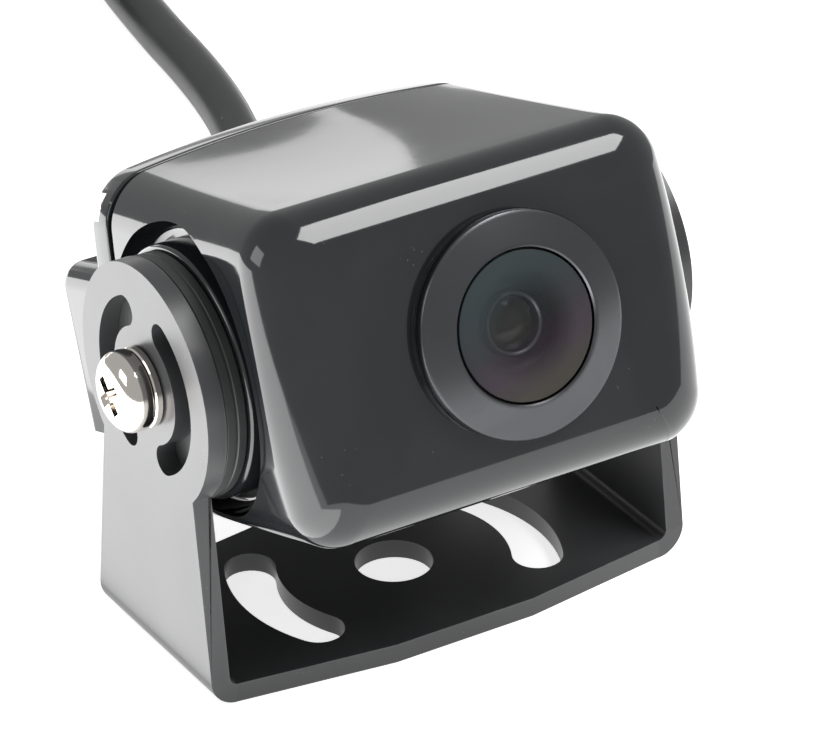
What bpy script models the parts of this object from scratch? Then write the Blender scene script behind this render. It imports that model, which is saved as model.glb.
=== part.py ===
"""Reversing camera in a U bracket: a die-cast head with its lens, boards and rear cover,
hung between the ears of a folded steel bracket, with its lead and connector.

Metres, +Z up, X to the right, the lens looks along -Y. The origin is on the surface that
the bracket stands on, at the middle of the object's own box without the lead.
"""

import math

import bmesh
import bpy
from mathutils import Euler, Vector

MM = 0.001
GAP = 0.3 * MM  # clearance between pieces that touch on the real object

# Bracket
BRACKET_WIDTH = 54 * MM
PLATE = 2.0 * MM
BEND_RADIUS = 3.0 * MM
BASE_HALF_DEPTH = 13.3 * MM  # the middle of the base, between its two kinks
KINK_X = 7.8 * MM
ARM_FOOT_HALF_DEPTH = 11.0 * MM
ARM_TAPER = 0.127
PIVOT_HEIGHT = 30.4 * MM
EAR_RADIUS = 12.1 * MM
CENTRE_HOLE_RADIUS = 3.9 * MM
BASE_SLOT_RADIUS = 14.25 * MM
BASE_SLOT_WIDTH = 5.1 * MM
BASE_SLOT_HALF_ANGLE = 28
EAR_SLOT_RADIUS = 7.35 * MM
EAR_SLOT_WIDTH = 3.0 * MM
EAR_SLOT_HALF_ANGLE = 63
BRACKET_Y = -10.8 * MM  # the centre hole and the pivot, ahead of the origin

# Camera head: its own frame has the pivot at the origin, and is level
HEAD_PITCH = 19.5  # degrees, nose up
FACE_Y = -20.2 * MM
SHELL_REAR_Y = 11.7 * MM
SHELL_FRONT_HALF_WIDTH = 22.0 * MM
SHELL_REAR_HALF_WIDTH = 21.2 * MM
SHELL_BOTTOM = -16.6 * MM
SHELL_FRONT_TOP = 15.7 * MM
SHELL_REAR_TOP = 16.9 * MM
SHELL_REAR_CROWN = 1.5 * MM
SHELL_CORNER = 4.0 * MM
FACE_FILLET = 4.2 * MM
CAVITY_HALF_WIDTH = 17.2 * MM
CAVITY_BOTTOM = -13.8 * MM
CAVITY_TOP = 13.4 * MM
CAVITY_FRONT_Y = -17.4 * MM

# Pivot bosses, their cove and what is screwed to them
BOSS_RADIUS = 11.2 * MM
BOSS_END_X = 22.6 * MM
COVE_FLOOR_X = 19.0 * MM
COVE_RADIUS = 14.6 * MM
THREAD_RADIUS = 2.3 * MM
SCREW_TIP_X = 18.5 * MM
SCREW_HEAD_RADIUS = 4.0 * MM
SCREW_HEAD_HEIGHT = 2.6 * MM
LOCK_WASHER = 0.7 * MM

# Lens, on its own axis right of the head's middle
LENS_X = 2.2 * MM
TURRET_RADIUS = 10.9 * MM
TURRET_HEIGHT = 0.4 * MM
BEZEL_EDGE_Y = -21.7 * MM
BEZEL_LIP_Y = -22.5 * MM
BEZEL_OPENING = 7.4 * MM
LENS_BORE = 7.8 * MM

# Boards
SENSOR_BOARD_Y = 1.0 * MM
MAIN_BOARD_Y = 7.6 * MM
BOARD = 1.2 * MM
BOARD_WIDTH = 32.6 * MM
BOARD_HEIGHT = 25 * MM
POST_X = 14.2 * MM
POST_Z = 10.2 * MM

# Rear cover
GASKET = 0.5 * MM
COVER_Y = SHELL_REAR_Y + 2 * GAP + GASKET
RIM = 3.7 * MM
BLOCK_REAR_Y = 34 * MM
BLOCK_HALF_WIDTH = 18.5 * MM
BLOCK_TOP = 6.5 * MM
BLOCK_BOTTOM = -13.5 * MM
WALL = 2.0 * MM
COVER_SCREW_X = 18.9 * MM
COVER_SCREW_Z = 13.4 * MM
COVER_SCREW_HEAD = 2.2 * MM

# Lead: its route is in the bracket's frame, and its unseen length is wound in a coil
LEAD_DIAMETER = 5.5 * MM
EXIT_X = 8 * MM
EXIT_Z = -3.5 * MM
BOOT_LENGTH = 14 * MM
ROUTE = [
    (9.2, 54.4, 7.6), (12.1, 59.6, 5.9), (16.5, 64.6, 4.6), (21.6, 69.6, 3.7), (26.3, 75.2, 3.0),
    (30.0, 81.4, 2.95), (32.6, 88.2, 2.95), (34.6, 95.6, 2.95), (36.2, 104.0, 2.95),
    (37.6, 114.0, 2.95), (39.0, 124.0, 3.3), (40.2, 132.0, 3.8),
]  # fmt: skip
COIL_JOIN = Vector((44.8, 164.0, 0)) * MM  # where the lead runs into its first turn
LEAVING_ANGLE = 81.8  # degrees from +X, of the lead there
COIL_RADIUS = 30 * MM
COIL_LOW = 1.3 * MM  # its underside, on the tie
TAIL = 36 * MM  # from the coil down to the connector
CONNECTOR_Z = 7.3 * MM

ROUND = 48
FINE = 24


def material(name, colour, metallic, roughness, alpha=1.0):
    made = bpy.data.materials.new(name)
    made.use_nodes = True
    shader = made.node_tree.nodes["Principled BSDF"]
    shader.inputs["Base Color"].default_value = (*colour, 1)
    shader.inputs["Metallic"].default_value = metallic
    shader.inputs["Roughness"].default_value = roughness
    shader.inputs["Alpha"].default_value = alpha
    made.diffuse_color = (*colour, alpha)
    return made


def add_object(name, mesh_builder, finish, parent):
    """One named object under the parent empty, with its mesh in that parent's frame."""
    mesh = bpy.data.meshes.new(name)
    bmesh.ops.remove_doubles(mesh_builder, verts=mesh_builder.verts, dist=1e-6)
    bmesh.ops.recalc_face_normals(mesh_builder, faces=mesh_builder.faces)
    mesh_builder.to_mesh(mesh)
    mesh_builder.free()
    mesh.shade_smooth()
    mesh.set_sharp_from_angle(angle=math.radians(30))
    obj = bpy.data.objects.new(name, mesh)
    bpy.context.collection.objects.link(obj)
    obj.parent = parent
    if finish:
        mesh.materials.append(finish)
    return obj


def loft(rings):
    """A closed body through rings of points that have the same count each, capped at both ends."""
    builder = bmesh.new()
    loops = [[builder.verts.new(point) for point in ring] for ring in rings]
    count = len(rings[0])
    for low, high in zip(loops, loops[1:]):
        for i in range(count):
            j = (i + 1) % count
            builder.faces.new((low[i], low[j], high[j], high[i]))
    builder.faces.new(list(reversed(loops[0])))
    builder.faces.new(loops[-1])
    return builder


def place(axis, across, up, along):
    """A point given across, up and along one axis: X has (Y, Z) across it, Y has (X, Z), Z has (X, Y)."""
    return {
        "X": Vector((along, across, up)),
        "Y": Vector((across, along, up)),
        "Z": Vector((across, up, along)),
    }[axis]


def prism(outline, axis, low, high):
    return loft([[place(axis, a, b, end) for a, b in outline] for end in (low, high)])


def turned(profile, axis, centre=(0, 0), steps=ROUND):
    """A closed profile of (radius, along) turned about an axis through centre."""
    builder = bmesh.new()
    rings = []
    for radius, along in profile:
        if radius < 1e-9:
            rings.append([builder.verts.new(place(axis, *centre, along))] * steps)
            continue
        turns = [2 * math.pi * i / steps for i in range(steps)]
        rings.append(
            [
                builder.verts.new(
                    place(axis, centre[0] + radius * math.cos(t), centre[1] + radius * math.sin(t), along)
                )
                for t in turns
            ]
        )
    for first, second in zip(rings, rings[1:] + rings[:1]):
        for i in range(steps):
            j = (i + 1) % steps
            corners = list(dict.fromkeys((first[i], first[j], second[j], second[i])))
            if len(corners) > 2:
                builder.faces.new(corners)
    return builder


def cylinder(radius, axis, low, high, centre=(0, 0), steps=ROUND):
    return turned([(0, low), (radius, low), (radius, high), (0, high)], axis, centre, steps)


def tube(outer, inner, axis, low, high, centre=(0, 0), steps=ROUND):
    return turned([(inner, low), (outer, low), (outer, high), (inner, high)], axis, centre, steps)


def box(low, high):
    outline = [(low[0], low[1]), (high[0], low[1]), (high[0], high[1]), (low[0], high[1])]
    return prism(outline, "Z", low[2], high[2])


def arc_points(centre, radius, start, end, steps):
    """Points on a circle from one angle to another, in degrees."""
    angles = [math.radians(start + (end - start) * i / steps) for i in range(steps + 1)]
    return [(centre[0] + radius * math.cos(a), centre[1] + radius * math.sin(a)) for a in angles]


def arc_slot(centre, radius, width, middle, half_angle, steps=12):
    """The outline of a slot that follows a circle, with round ends."""
    start, end = middle - half_angle, middle + half_angle
    outline = arc_points(centre, radius + width / 2, start, end, steps)
    for angle, turn in ((end, 0), (start, 180)):
        tip = arc_points(centre, radius, angle, angle, 1)[0]
        outline += arc_points(tip, width / 2, angle + turn, angle + turn + 180, 8)[1:-1]
        if turn == 0:
            outline += arc_points(centre, radius - width / 2, end, start, steps)
    return outline


def rounded_box_outline(half_width, bottom, top, corner, crown=0.0, bulge=0.0, steps=5, along_top=6):
    """A rounded rectangle whose top is arched by crown and whose sides bow out by bulge."""
    points = []
    middle = (bottom + top) / 2
    half_height = (top - bottom) / 2
    points += arc_points((half_width - corner, bottom + corner), corner, 270, 360, steps)
    points += [(half_width, bottom + corner + (top - bottom - 2 * corner) * i / 4) for i in (1, 2, 3)]
    points += arc_points((half_width - corner, top - corner), corner, 0, 90, steps)
    span = 2 * (half_width - corner)
    points += [(half_width - corner - span * i / along_top, top) for i in range(1, along_top)]
    points += arc_points((-half_width + corner, top - corner), corner, 90, 180, steps)
    points += [(-half_width, top - corner - (top - bottom - 2 * corner) * i / 4) for i in (1, 2, 3)]
    points += arc_points((-half_width + corner, bottom + corner), corner, 180, 270, steps)
    shaped = []
    for x, z in points:
        bow = bulge * (1 - ((z - middle) / half_height) ** 2) * x / half_width
        arch = crown * (1 - (x / half_width) ** 2) * max(0, (z - middle) / half_height)
        shaped.append((x + bow, z + arch))
    return shaped


def cut(target, builder, operation="DIFFERENCE"):
    """Cuts one object by another mesh, which stays in the scene as a hidden cutter."""
    cutter = add_object(f"{target.name}_cutter_{len(target.modifiers) + 1}", builder, None, target.parent)
    cutter.hide_render = True
    cutter.display_type = "WIRE"
    modifier = target.modifiers.new(cutter.name, "BOOLEAN")
    modifier.operation = operation
    modifier.solver = "EXACT"
    modifier.object = cutter


def empty(name, location, rotation=(0, 0, 0)):
    made = bpy.data.objects.new(name, None)
    made.location = location
    made.rotation_euler = Euler([math.radians(angle) for angle in rotation])
    bpy.context.collection.objects.link(made)
    return made


def build_bracket(stand, finish):
    """A strip folded into a U, with its plan and its side view cut to shape."""
    outer, inner = BEND_RADIUS, BEND_RADIUS - PLATE
    half = BRACKET_WIDTH / 2
    height = PIVOT_HEIGHT + EAR_RADIUS + 2 * MM
    profile = arc_points((half - outer, outer), outer, 270, 360, 6) + [(half, height), (half - PLATE, height)]
    profile += arc_points((half - outer, outer), inner, 360, 270, 4)
    profile += [(-x, z) for x, z in reversed(profile)]
    bracket = add_object("bracket", prism(profile, "Y", -16 * MM, 16 * MM), finish, stand)

    foot = ARM_FOOT_HALF_DEPTH
    bend = half - outer
    front = [(-half - MM, -foot), (-bend, -foot), (-KINK_X, -BASE_HALF_DEPTH)]
    front += [(-x, y) for x, y in reversed(front)]
    plan = front + [(x, -y) for x, y in reversed(front)]
    cut(bracket, prism(plan, "Z", -MM, height + MM), "INTERSECT")

    # The side view: a wide foot for the base, arms that taper, and round ears that overhang them.
    neck_z = PIVOT_HEIGHT - 8.6 * MM
    neck_y = foot - ARM_TAPER * (neck_z - BEND_RADIUS)
    meet = math.degrees(math.asin((neck_z - PIVOT_HEIGHT) / EAR_RADIUS))
    ear = arc_points((0, PIVOT_HEIGHT), EAR_RADIUS, meet, 180 - meet, 28)
    wide = BASE_HALF_DEPTH + MM
    side = [(-wide, -MM), (wide, -MM), (wide, BEND_RADIUS), (foot, BEND_RADIUS), (neck_y, neck_z - MM)]
    side += ear + [(-neck_y, neck_z - MM), (-foot, BEND_RADIUS), (-wide, BEND_RADIUS)]
    cut(bracket, prism(side, "X", -half - MM, half + MM), "INTERSECT")

    cut(bracket, cylinder(CENTRE_HOLE_RADIUS, "Z", -MM, 2 * PLATE, steps=32))
    for middle in (0, 180):
        slot = arc_slot((0, 0), BASE_SLOT_RADIUS, BASE_SLOT_WIDTH, middle, BASE_SLOT_HALF_ANGLE)
        cut(bracket, prism(slot, "Z", -MM, 2 * PLATE))
        slot = arc_slot((0, PIVOT_HEIGHT), EAR_SLOT_RADIUS, EAR_SLOT_WIDTH, middle, EAR_SLOT_HALF_ANGLE)
        cut(bracket, prism(slot, "X", -half - MM, half + MM))
    hole = cylinder(THREAD_RADIUS + GAP, "X", -half - MM, half + MM, (0, PIVOT_HEIGHT), FINE)
    cut(bracket, hole)


def shell_outline(y, inset=0.0):
    """The head's outer section at one depth, drawn in by inset."""
    share = (y - FACE_Y) / (SHELL_REAR_Y - FACE_Y)
    half_width = SHELL_FRONT_HALF_WIDTH + (SHELL_REAR_HALF_WIDTH - SHELL_FRONT_HALF_WIDTH) * share
    top = SHELL_FRONT_TOP + (SHELL_REAR_TOP - SHELL_FRONT_TOP) * share
    crown = SHELL_REAR_CROWN * share**2
    return rounded_box_outline(
        half_width - inset, SHELL_BOTTOM + inset, top - inset, SHELL_CORNER - 0.5 * inset, crown, 0.5 * MM
    )


def build_front_housing(head, finish):
    """The die-cast shell: lofted from the face to the rear, hollow, with the pivot bosses in their coves."""
    stations = []
    for i in range(5):
        angle = math.radians(90 - 22.5 * i)
        inset = FACE_FILLET * (1 - math.cos(angle))
        y = FACE_Y + FACE_FILLET * (1 - math.sin(angle))
        stations.append([(x, y, z) for x, z in shell_outline(y, inset)])
    for y in (-8 * MM, 2 * MM, SHELL_REAR_Y):
        stations.append([(x, y, z) for x, z in shell_outline(y)])
    shell = add_object("front_housing", loft(stations), finish, head)

    cavity = rounded_box_outline(CAVITY_HALF_WIDTH, CAVITY_BOTTOM, CAVITY_TOP, 2 * MM, steps=3, along_top=2)
    cut(shell, prism(cavity, "Y", CAVITY_FRONT_Y, SHELL_REAR_Y + MM))
    for side in (-1, 1):
        cove = [
            (BOSS_RADIUS, side * COVE_FLOOR_X),
            (BOSS_RADIUS + 0.8 * MM, side * COVE_FLOOR_X),
            (BOSS_RADIUS + 2.0 * MM, side * (COVE_FLOOR_X + 0.8 * MM)),
            (COVE_RADIUS, side * (SHELL_FRONT_HALF_WIDTH + 0.6 * MM)),
            (COVE_RADIUS, side * 26 * MM),
            (BOSS_RADIUS, side * 26 * MM),
        ]
        cut(shell, turned(cove, "X"))
        boss = cylinder(BOSS_RADIUS + 0.02 * MM, "X", side * (CAVITY_HALF_WIDTH + MM), side * BOSS_END_X)
        cut(shell, boss, "UNION")
        cut(shell, cylinder(THREAD_RADIUS, "X", side * (SCREW_TIP_X - GAP), side * 26 * MM, steps=FINE))
    cut(shell, cylinder(TURRET_RADIUS, "Y", FACE_Y - TURRET_HEIGHT, FACE_Y + MM, (LENS_X, 0)), "UNION")
    cut(shell, cylinder(LENS_BORE, "Y", FACE_Y - 2 * MM, CAVITY_FRONT_Y + MM, (LENS_X, 0)))
    for x, z in cover_screw_places():
        cut(shell, cylinder(1.3 * MM, "Y", SHELL_REAR_Y - 7 * MM, SHELL_REAR_Y + MM, (x, z), 12))


def build_lens(head, finishes):
    axis = (LENS_X, 0)
    seat_y = FACE_Y - TURRET_HEIGHT - GAP
    bezel = [
        (LENS_BORE + 1.2 * MM, seat_y),
        (TURRET_RADIUS, seat_y),
        (TURRET_RADIUS, BEZEL_EDGE_Y),
        (BEZEL_OPENING, BEZEL_LIP_Y),
        (BEZEL_OPENING, BEZEL_LIP_Y + 0.8 * MM),
        (LENS_BORE + 1.2 * MM, BEZEL_LIP_Y + 1.1 * MM),
    ]
    add_object("lens_bezel", turned(bezel, "Y", axis), finishes["ring"], head)

    front = BEZEL_LIP_Y + 0.2 * MM
    radius = BEZEL_OPENING - GAP
    dome = [(0, front - 0.6 * MM)] + [
        (radius * i / 5, front - 0.6 * MM * (1 - (i / 5) ** 2)) for i in range(1, 6)
    ]
    dome += [(radius, front + 2.2 * MM), (0, front + 2.2 * MM)]
    add_object("front_element", turned(dome, "Y", axis), finishes["glass"], head)
    seal = tube(LENS_BORE - 0.1 * MM, 6.2 * MM, "Y", -19.6 * MM, -18.6 * MM, axis)
    add_object("lens_seal", seal, finishes["rubber"], head)

    barrel = [
        (4.6 * MM, -19.7 * MM), (5.9 * MM, -19.7 * MM), (5.9 * MM, -18.0 * MM), (7.0 * MM, -18.0 * MM),
        (7.0 * MM, -13.0 * MM), (5.9 * MM, -13.0 * MM), (5.9 * MM, -4.0 * MM), (3.4 * MM, -4.0 * MM),
        (3.4 * MM, -17.0 * MM), (4.6 * MM, -17.0 * MM),
    ]  # fmt: skip
    add_object("lens_barrel", turned(barrel, "Y", axis), finishes["ring"], head)
    inner_ring = tube(4.3 * MM, 2.6 * MM, "Y", -19.6 * MM, -18.2 * MM, axis)
    add_object("lens_retainer", inner_ring, finishes["ring"], head)
    for name, low, high in (("middle_element", -16.6, -14.2), ("rear_element", -8.0, -5.4)):
        add_object(name, cylinder(3.1 * MM, "Y", low * MM, high * MM, axis, 32), finishes["glass"], head)
    holder = add_object(
        "lens_holder",
        box((LENS_X - 8 * MM, -3.6 * MM, -8 * MM), (LENS_X + 8 * MM, SENSOR_BOARD_Y - GAP, 8 * MM)),
        finishes["plastic"],
        head,
    )
    cut(holder, cylinder(7.6 * MM, "Y", -12.4 * MM, -2.6 * MM, axis), "UNION")
    cut(holder, cylinder(6.2 * MM, "Y", -13 * MM, -3.2 * MM, axis))
    pocket = 4.6 * MM
    cut(holder, box((LENS_X - pocket, -4 * MM, -pocket), (LENS_X + pocket, 2 * MM, pocket)))
    for name, size, low, high in (("infrared_filter", 4.2, -2.6, -2.0), ("image_sensor", 4.0, -0.6, 0.7)):
        half = size * MM
        low_corner = (LENS_X - half, low * MM, -half)
        add_object(name, box(low_corner, (LENS_X + half, high * MM, half)), finishes["chip"], head)


def build_boards(head, finishes):
    half_width, half_height = BOARD_WIDTH / 2, BOARD_HEIGHT / 2
    corners = [(x, z) for x in (-POST_X, POST_X) for z in (-POST_Z, POST_Z)]
    for name, y in (("sensor_board", SENSOR_BOARD_Y), ("main_board", MAIN_BOARD_Y)):
        board = box((-half_width, y, -half_height), (half_width, y + BOARD, half_height))
        board = add_object(name, board, finishes["board"], head)
        for x, z in corners:
            cut(board, cylinder(1.2 * MM, "Y", y - MM, y + BOARD + MM, (x, z), 12))
    back = MAIN_BOARD_Y + BOARD
    for number, (x, z) in enumerate(corners, 1):
        post_low, post_high = SENSOR_BOARD_Y + BOARD + GAP, MAIN_BOARD_Y - GAP
        post = [(0.8 * MM, post_low), (2.0 * MM, post_low), (2.0 * MM, post_high), (1.2 * MM, post_high)]
        post += [(1.2 * MM, post_high - 3 * MM), (0.8 * MM, post_high - 3 * MM)]
        add_object(f"board_post_{number}", turned(post, "Y", (x, z), 12), finishes["brass"], head)
        screw = [(0, back - 3.2 * MM), (0.9 * MM, back - 3.2 * MM), (0.9 * MM, back + GAP)]
        screw += [(1.9 * MM, back + GAP), (1.7 * MM, back + 1.3 * MM), (0, back + 1.3 * MM)]
        add_object(f"board_screw_{number}", turned(screw, "Y", (x, z), 12), finishes["steel"], head)
    header_y = SENSOR_BOARD_Y + BOARD + GAP
    header = box((-11 * MM, header_y, -12 * MM), (9 * MM, MAIN_BOARD_Y - GAP, -9 * MM))
    add_object("board_header", header, finishes["plastic"], head)
    socket = box((3 * MM, back + GAP, -6 * MM), (13 * MM, back + 5 * MM, -1 * MM))
    add_object("lead_socket", socket, finishes["ivory"], head)
    plug = box((3.5 * MM, back + 5 * MM + GAP, -5.5 * MM), (12.5 * MM, back + 9 * MM, -1.5 * MM))
    add_object("lead_plug", plug, finishes["ivory"], head)
    wires_low = back + 9 * MM + GAP
    wires_high = BLOCK_REAR_Y - WALL - 1.5 * MM - GAP
    wires = cylinder(1.6 * MM, "Y", wires_low, wires_high, (EXIT_X, EXIT_Z), 12)
    add_object("lead_wires", wires, finishes["rubber"], head)


def cover_screw_places():
    return [(x, z) for x in (-COVER_SCREW_X, COVER_SCREW_X) for z in (-COVER_SCREW_Z, COVER_SCREW_Z)]


def build_rear_cover(head, finishes):
    outline = shell_outline(SHELL_REAR_Y, 0.7 * MM)
    gasket_y = SHELL_REAR_Y + GAP
    sheet = prism(outline, "Y", gasket_y, gasket_y + GASKET)
    gasket = add_object("rear_gasket", sheet, finishes["rubber"], head)
    opening = rounded_box_outline(16.4 * MM, -12.0 * MM, 12.0 * MM, 2 * MM, steps=3, along_top=2)
    cut(gasket, prism(opening, "Y", gasket_y - MM, gasket_y + 2 * MM))
    for x, z in cover_screw_places():
        cut(gasket, cylinder(1.5 * MM, "Y", gasket_y - MM, gasket_y + 2 * MM, (x, z), 12))

    rings = []
    rim_depths = (COVER_Y, COVER_Y + 0.4 * RIM, COVER_Y + RIM - 0.8 * MM, COVER_Y + RIM)
    for y, inset in zip(rim_depths, (0.1, 0.0, 0.0, 0.8)):
        rings.append([(x, y, z) for x, z in shell_outline(SHELL_REAR_Y, inset * MM)])
    cover = add_object("rear_cover", loft(rings), finishes["paint"], head)
    rings = []
    block_depths = (COVER_Y + MM, BLOCK_REAR_Y - 1.6 * MM, BLOCK_REAR_Y - 0.5 * MM, BLOCK_REAR_Y)
    for y, inset in zip(block_depths, (0, 0, 0.5, 1.6)):
        drawn = rounded_box_outline(
            BLOCK_HALF_WIDTH - inset * MM,
            BLOCK_BOTTOM + inset * MM,
            BLOCK_TOP - inset * MM,
            2.2 * MM,
            steps=4,
        )
        rings.append([(x, y, z) for x, z in drawn])
    cut(cover, loft(rings), "UNION")
    low = (-14.5 * MM, COVER_Y - MM, BLOCK_BOTTOM + WALL)
    cut(cover, box(low, (14.5 * MM, BLOCK_REAR_Y - WALL, BLOCK_TOP - WALL)))
    for x, z in cover_screw_places():
        room = COVER_SCREW_HEAD + 0.5 * MM
        recess = cylinder(room, "Y", COVER_Y + 1.8 * MM, BLOCK_REAR_Y + MM, (x, z), FINE)
        cut(cover, recess)
        cut(cover, cylinder(1.5 * MM, "Y", COVER_Y - MM, COVER_Y + 3 * MM, (x, z), 12))
    cut(cover, cylinder(4.2 * MM, "Y", BLOCK_REAR_Y - 5 * MM, BLOCK_REAR_Y + MM, (EXIT_X, EXIT_Z), FINE))

    for number, (x, z) in enumerate(cover_screw_places(), 1):
        seat = COVER_Y + 1.8 * MM + GAP
        screw = [(0, SHELL_REAR_Y - 6 * MM), (1.0 * MM, SHELL_REAR_Y - 6 * MM), (1.0 * MM, seat)]
        screw += [(COVER_SCREW_HEAD, seat), (COVER_SCREW_HEAD, seat + 1.2 * MM)]
        screw += [(COVER_SCREW_HEAD - 0.5 * MM, seat + 1.6 * MM), (0, seat + 1.6 * MM)]
        add_object(f"cover_screw_{number}", turned(screw, "Y", (x, z), FINE), finishes["steel"], head)


def build_boot(head, finishes):
    """The rubber strain relief: a grooved plug in the cover's rear wall and a tapered tail."""
    bore = LEAD_DIAMETER / 2 + GAP
    inside, outside = BLOCK_REAR_Y - WALL, BLOCK_REAR_Y
    tail = outside + GAP + BOOT_LENGTH
    profile = [
        (bore, inside - 1.5 * MM), (5.6 * MM, inside - 1.5 * MM), (5.6 * MM, inside - GAP),
        (4.2 * MM - GAP, inside - GAP), (4.2 * MM - GAP, outside + GAP), (6.0 * MM, outside + GAP),
        (6.0 * MM, outside + 2.2 * MM), (4.9 * MM, outside + 3.0 * MM), (3.9 * MM, tail), (bore, tail),
    ]  # fmt: skip
    add_object("lead_boot", turned(profile, "Y", (EXIT_X, EXIT_Z), FINE), finishes["rubber"], head)


def build_pivots(head, finishes):
    """What clamps the head between the ears on each side."""
    ear_out, ear_in = BRACKET_WIDTH / 2, BRACKET_WIDTH / 2 - PLATE
    for name, side in (("left", -1), ("right", 1)):
        turn = empty(f"pivot_{name}", (0, 0, 0))
        turn.parent = head
        pad = tube(11.4 * MM, THREAD_RADIUS + GAP, "X", side * (BOSS_END_X + GAP), side * (ear_in - GAP))
        add_object(f"friction_pad_{name}", pad, finishes["rubber"], head)
        washer_x = ear_out + GAP
        washer_out = washer_x + LOCK_WASHER
        washer = tube(
            SCREW_HEAD_RADIUS, THREAD_RADIUS + GAP, "X", side * washer_x, side * washer_out, steps=FINE
        )
        add_object(f"lock_washer_{name}", washer, finishes["steel"], turn)
        seat = washer_out + GAP
        shaft = THREAD_RADIUS - GAP
        screw = [
            (0, SCREW_TIP_X), (shaft, SCREW_TIP_X), (shaft, seat), (SCREW_HEAD_RADIUS, seat),
            (SCREW_HEAD_RADIUS, seat + 1.3 * MM), (SCREW_HEAD_RADIUS - 0.5 * MM, seat + 2.1 * MM),
            (SCREW_HEAD_RADIUS - 1.8 * MM, seat + SCREW_HEAD_HEIGHT), (0, seat + SCREW_HEAD_HEIGHT),
        ]  # fmt: skip
        profile = [(radius, side * x) for radius, x in screw]
        body = turned(profile, "X", steps=32)
        pivot_screw = add_object(f"pivot_screw_{name}", body, finishes["steel"], turn)
        deep, top = side * (seat + 0.8 * MM), side * (seat + 2 * SCREW_HEAD_HEIGHT)
        for long_y, long_z in ((2.3, 0.5), (0.5, 2.3)):
            low = (min(deep, top), -long_y * MM, -long_z * MM)
            cut(pivot_screw, box(low, (max(deep, top), long_y * MM, long_z * MM)))


def smooth_curve(points, spacing):
    """Points at an even spacing along a centripetal Catmull-Rom curve through the given ones."""
    points = [Vector(point) for point in points]
    ends = [2 * points[0] - points[1]] + points + [2 * points[-1] - points[-2]]
    dense = []
    for a, b, c, d in zip(ends, ends[1:], ends[2:], ends[3:]):
        knots = [0.0]
        for first, second in ((a, b), (b, c), (c, d)):
            knots.append(knots[-1] + math.sqrt((second - first).length))
        t0, t1, t2, t3 = knots
        for i in range(20):
            t = t1 + (t2 - t1) * i / 20
            ab = a.lerp(b, (t - t0) / (t1 - t0))
            bc = b.lerp(c, (t - t1) / (t2 - t1))
            cd = c.lerp(d, (t - t2) / (t3 - t2))
            abc = ab.lerp(bc, (t - t0) / (t2 - t0))
            bcd = bc.lerp(cd, (t - t1) / (t3 - t1))
            dense.append(abc.lerp(bcd, (t - t1) / (t2 - t1)))
    dense.append(points[-1])
    lengths = [0.0]
    for first, second in zip(dense, dense[1:]):
        lengths.append(lengths[-1] + (second - first).length)
    count = max(2, round(lengths[-1] / spacing))
    even, j = [], 0
    for i in range(count + 1):
        want = lengths[-1] * i / count
        while j < len(lengths) - 2 and lengths[j + 1] < want:
            j += 1
        even.append(dense[j].lerp(dense[j + 1], (want - lengths[j]) / (lengths[j + 1] - lengths[j])))
    return even


def along(distance, sideways=0.0, height=0.0):
    """A point in line with the lead where it meets its coil, in the bracket's frame."""
    angle = math.radians(LEAVING_ANGLE)
    forward = Vector((math.cos(angle), math.sin(angle), 0))
    right = Vector((math.sin(angle), -math.cos(angle), 0))
    return COIL_JOIN + distance * forward + sideways * right + Vector((0, 0, height))


def coil_reach():
    """How far along the lead, each way from the coil's join, the coil's own solid reaches."""
    thick = LEAD_DIAMETER / 2
    return math.sqrt((COIL_RADIUS + thick) ** 2 - (COIL_RADIUS - thick) ** 2) + GAP


def lead_route(stand, head_matrix):
    """The lead from its boot down to the surface that the camera stands on, and along it to the coil."""
    boot_end = BLOCK_REAR_Y + GAP + BOOT_LENGTH
    route = [head_matrix @ Vector((EXIT_X, boot_end + step * MM, EXIT_Z)) for step in (0.3, 5)]
    route += [stand @ (MM * Vector(point)) for point in ROUTE]
    return route + [stand @ along(-coil_reach(), 0, COIL_LOW + LEAD_DIAMETER / 2)]


def add_tube(name, points, finish):
    curve = bpy.data.curves.new(name, "CURVE")
    curve.dimensions = "3D"
    curve.bevel_depth = LEAD_DIAMETER / 2
    curve.bevel_resolution = 2
    curve.use_fill_caps = True
    spline = curve.splines.new("POLY")
    spline.points.add(len(points) - 1)
    for held, point in zip(spline.points, points):
        held.co = (*point, 1)
    curve.materials.append(finish)
    bpy.context.collection.objects.link(bpy.data.objects.new(name, curve))


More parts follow.
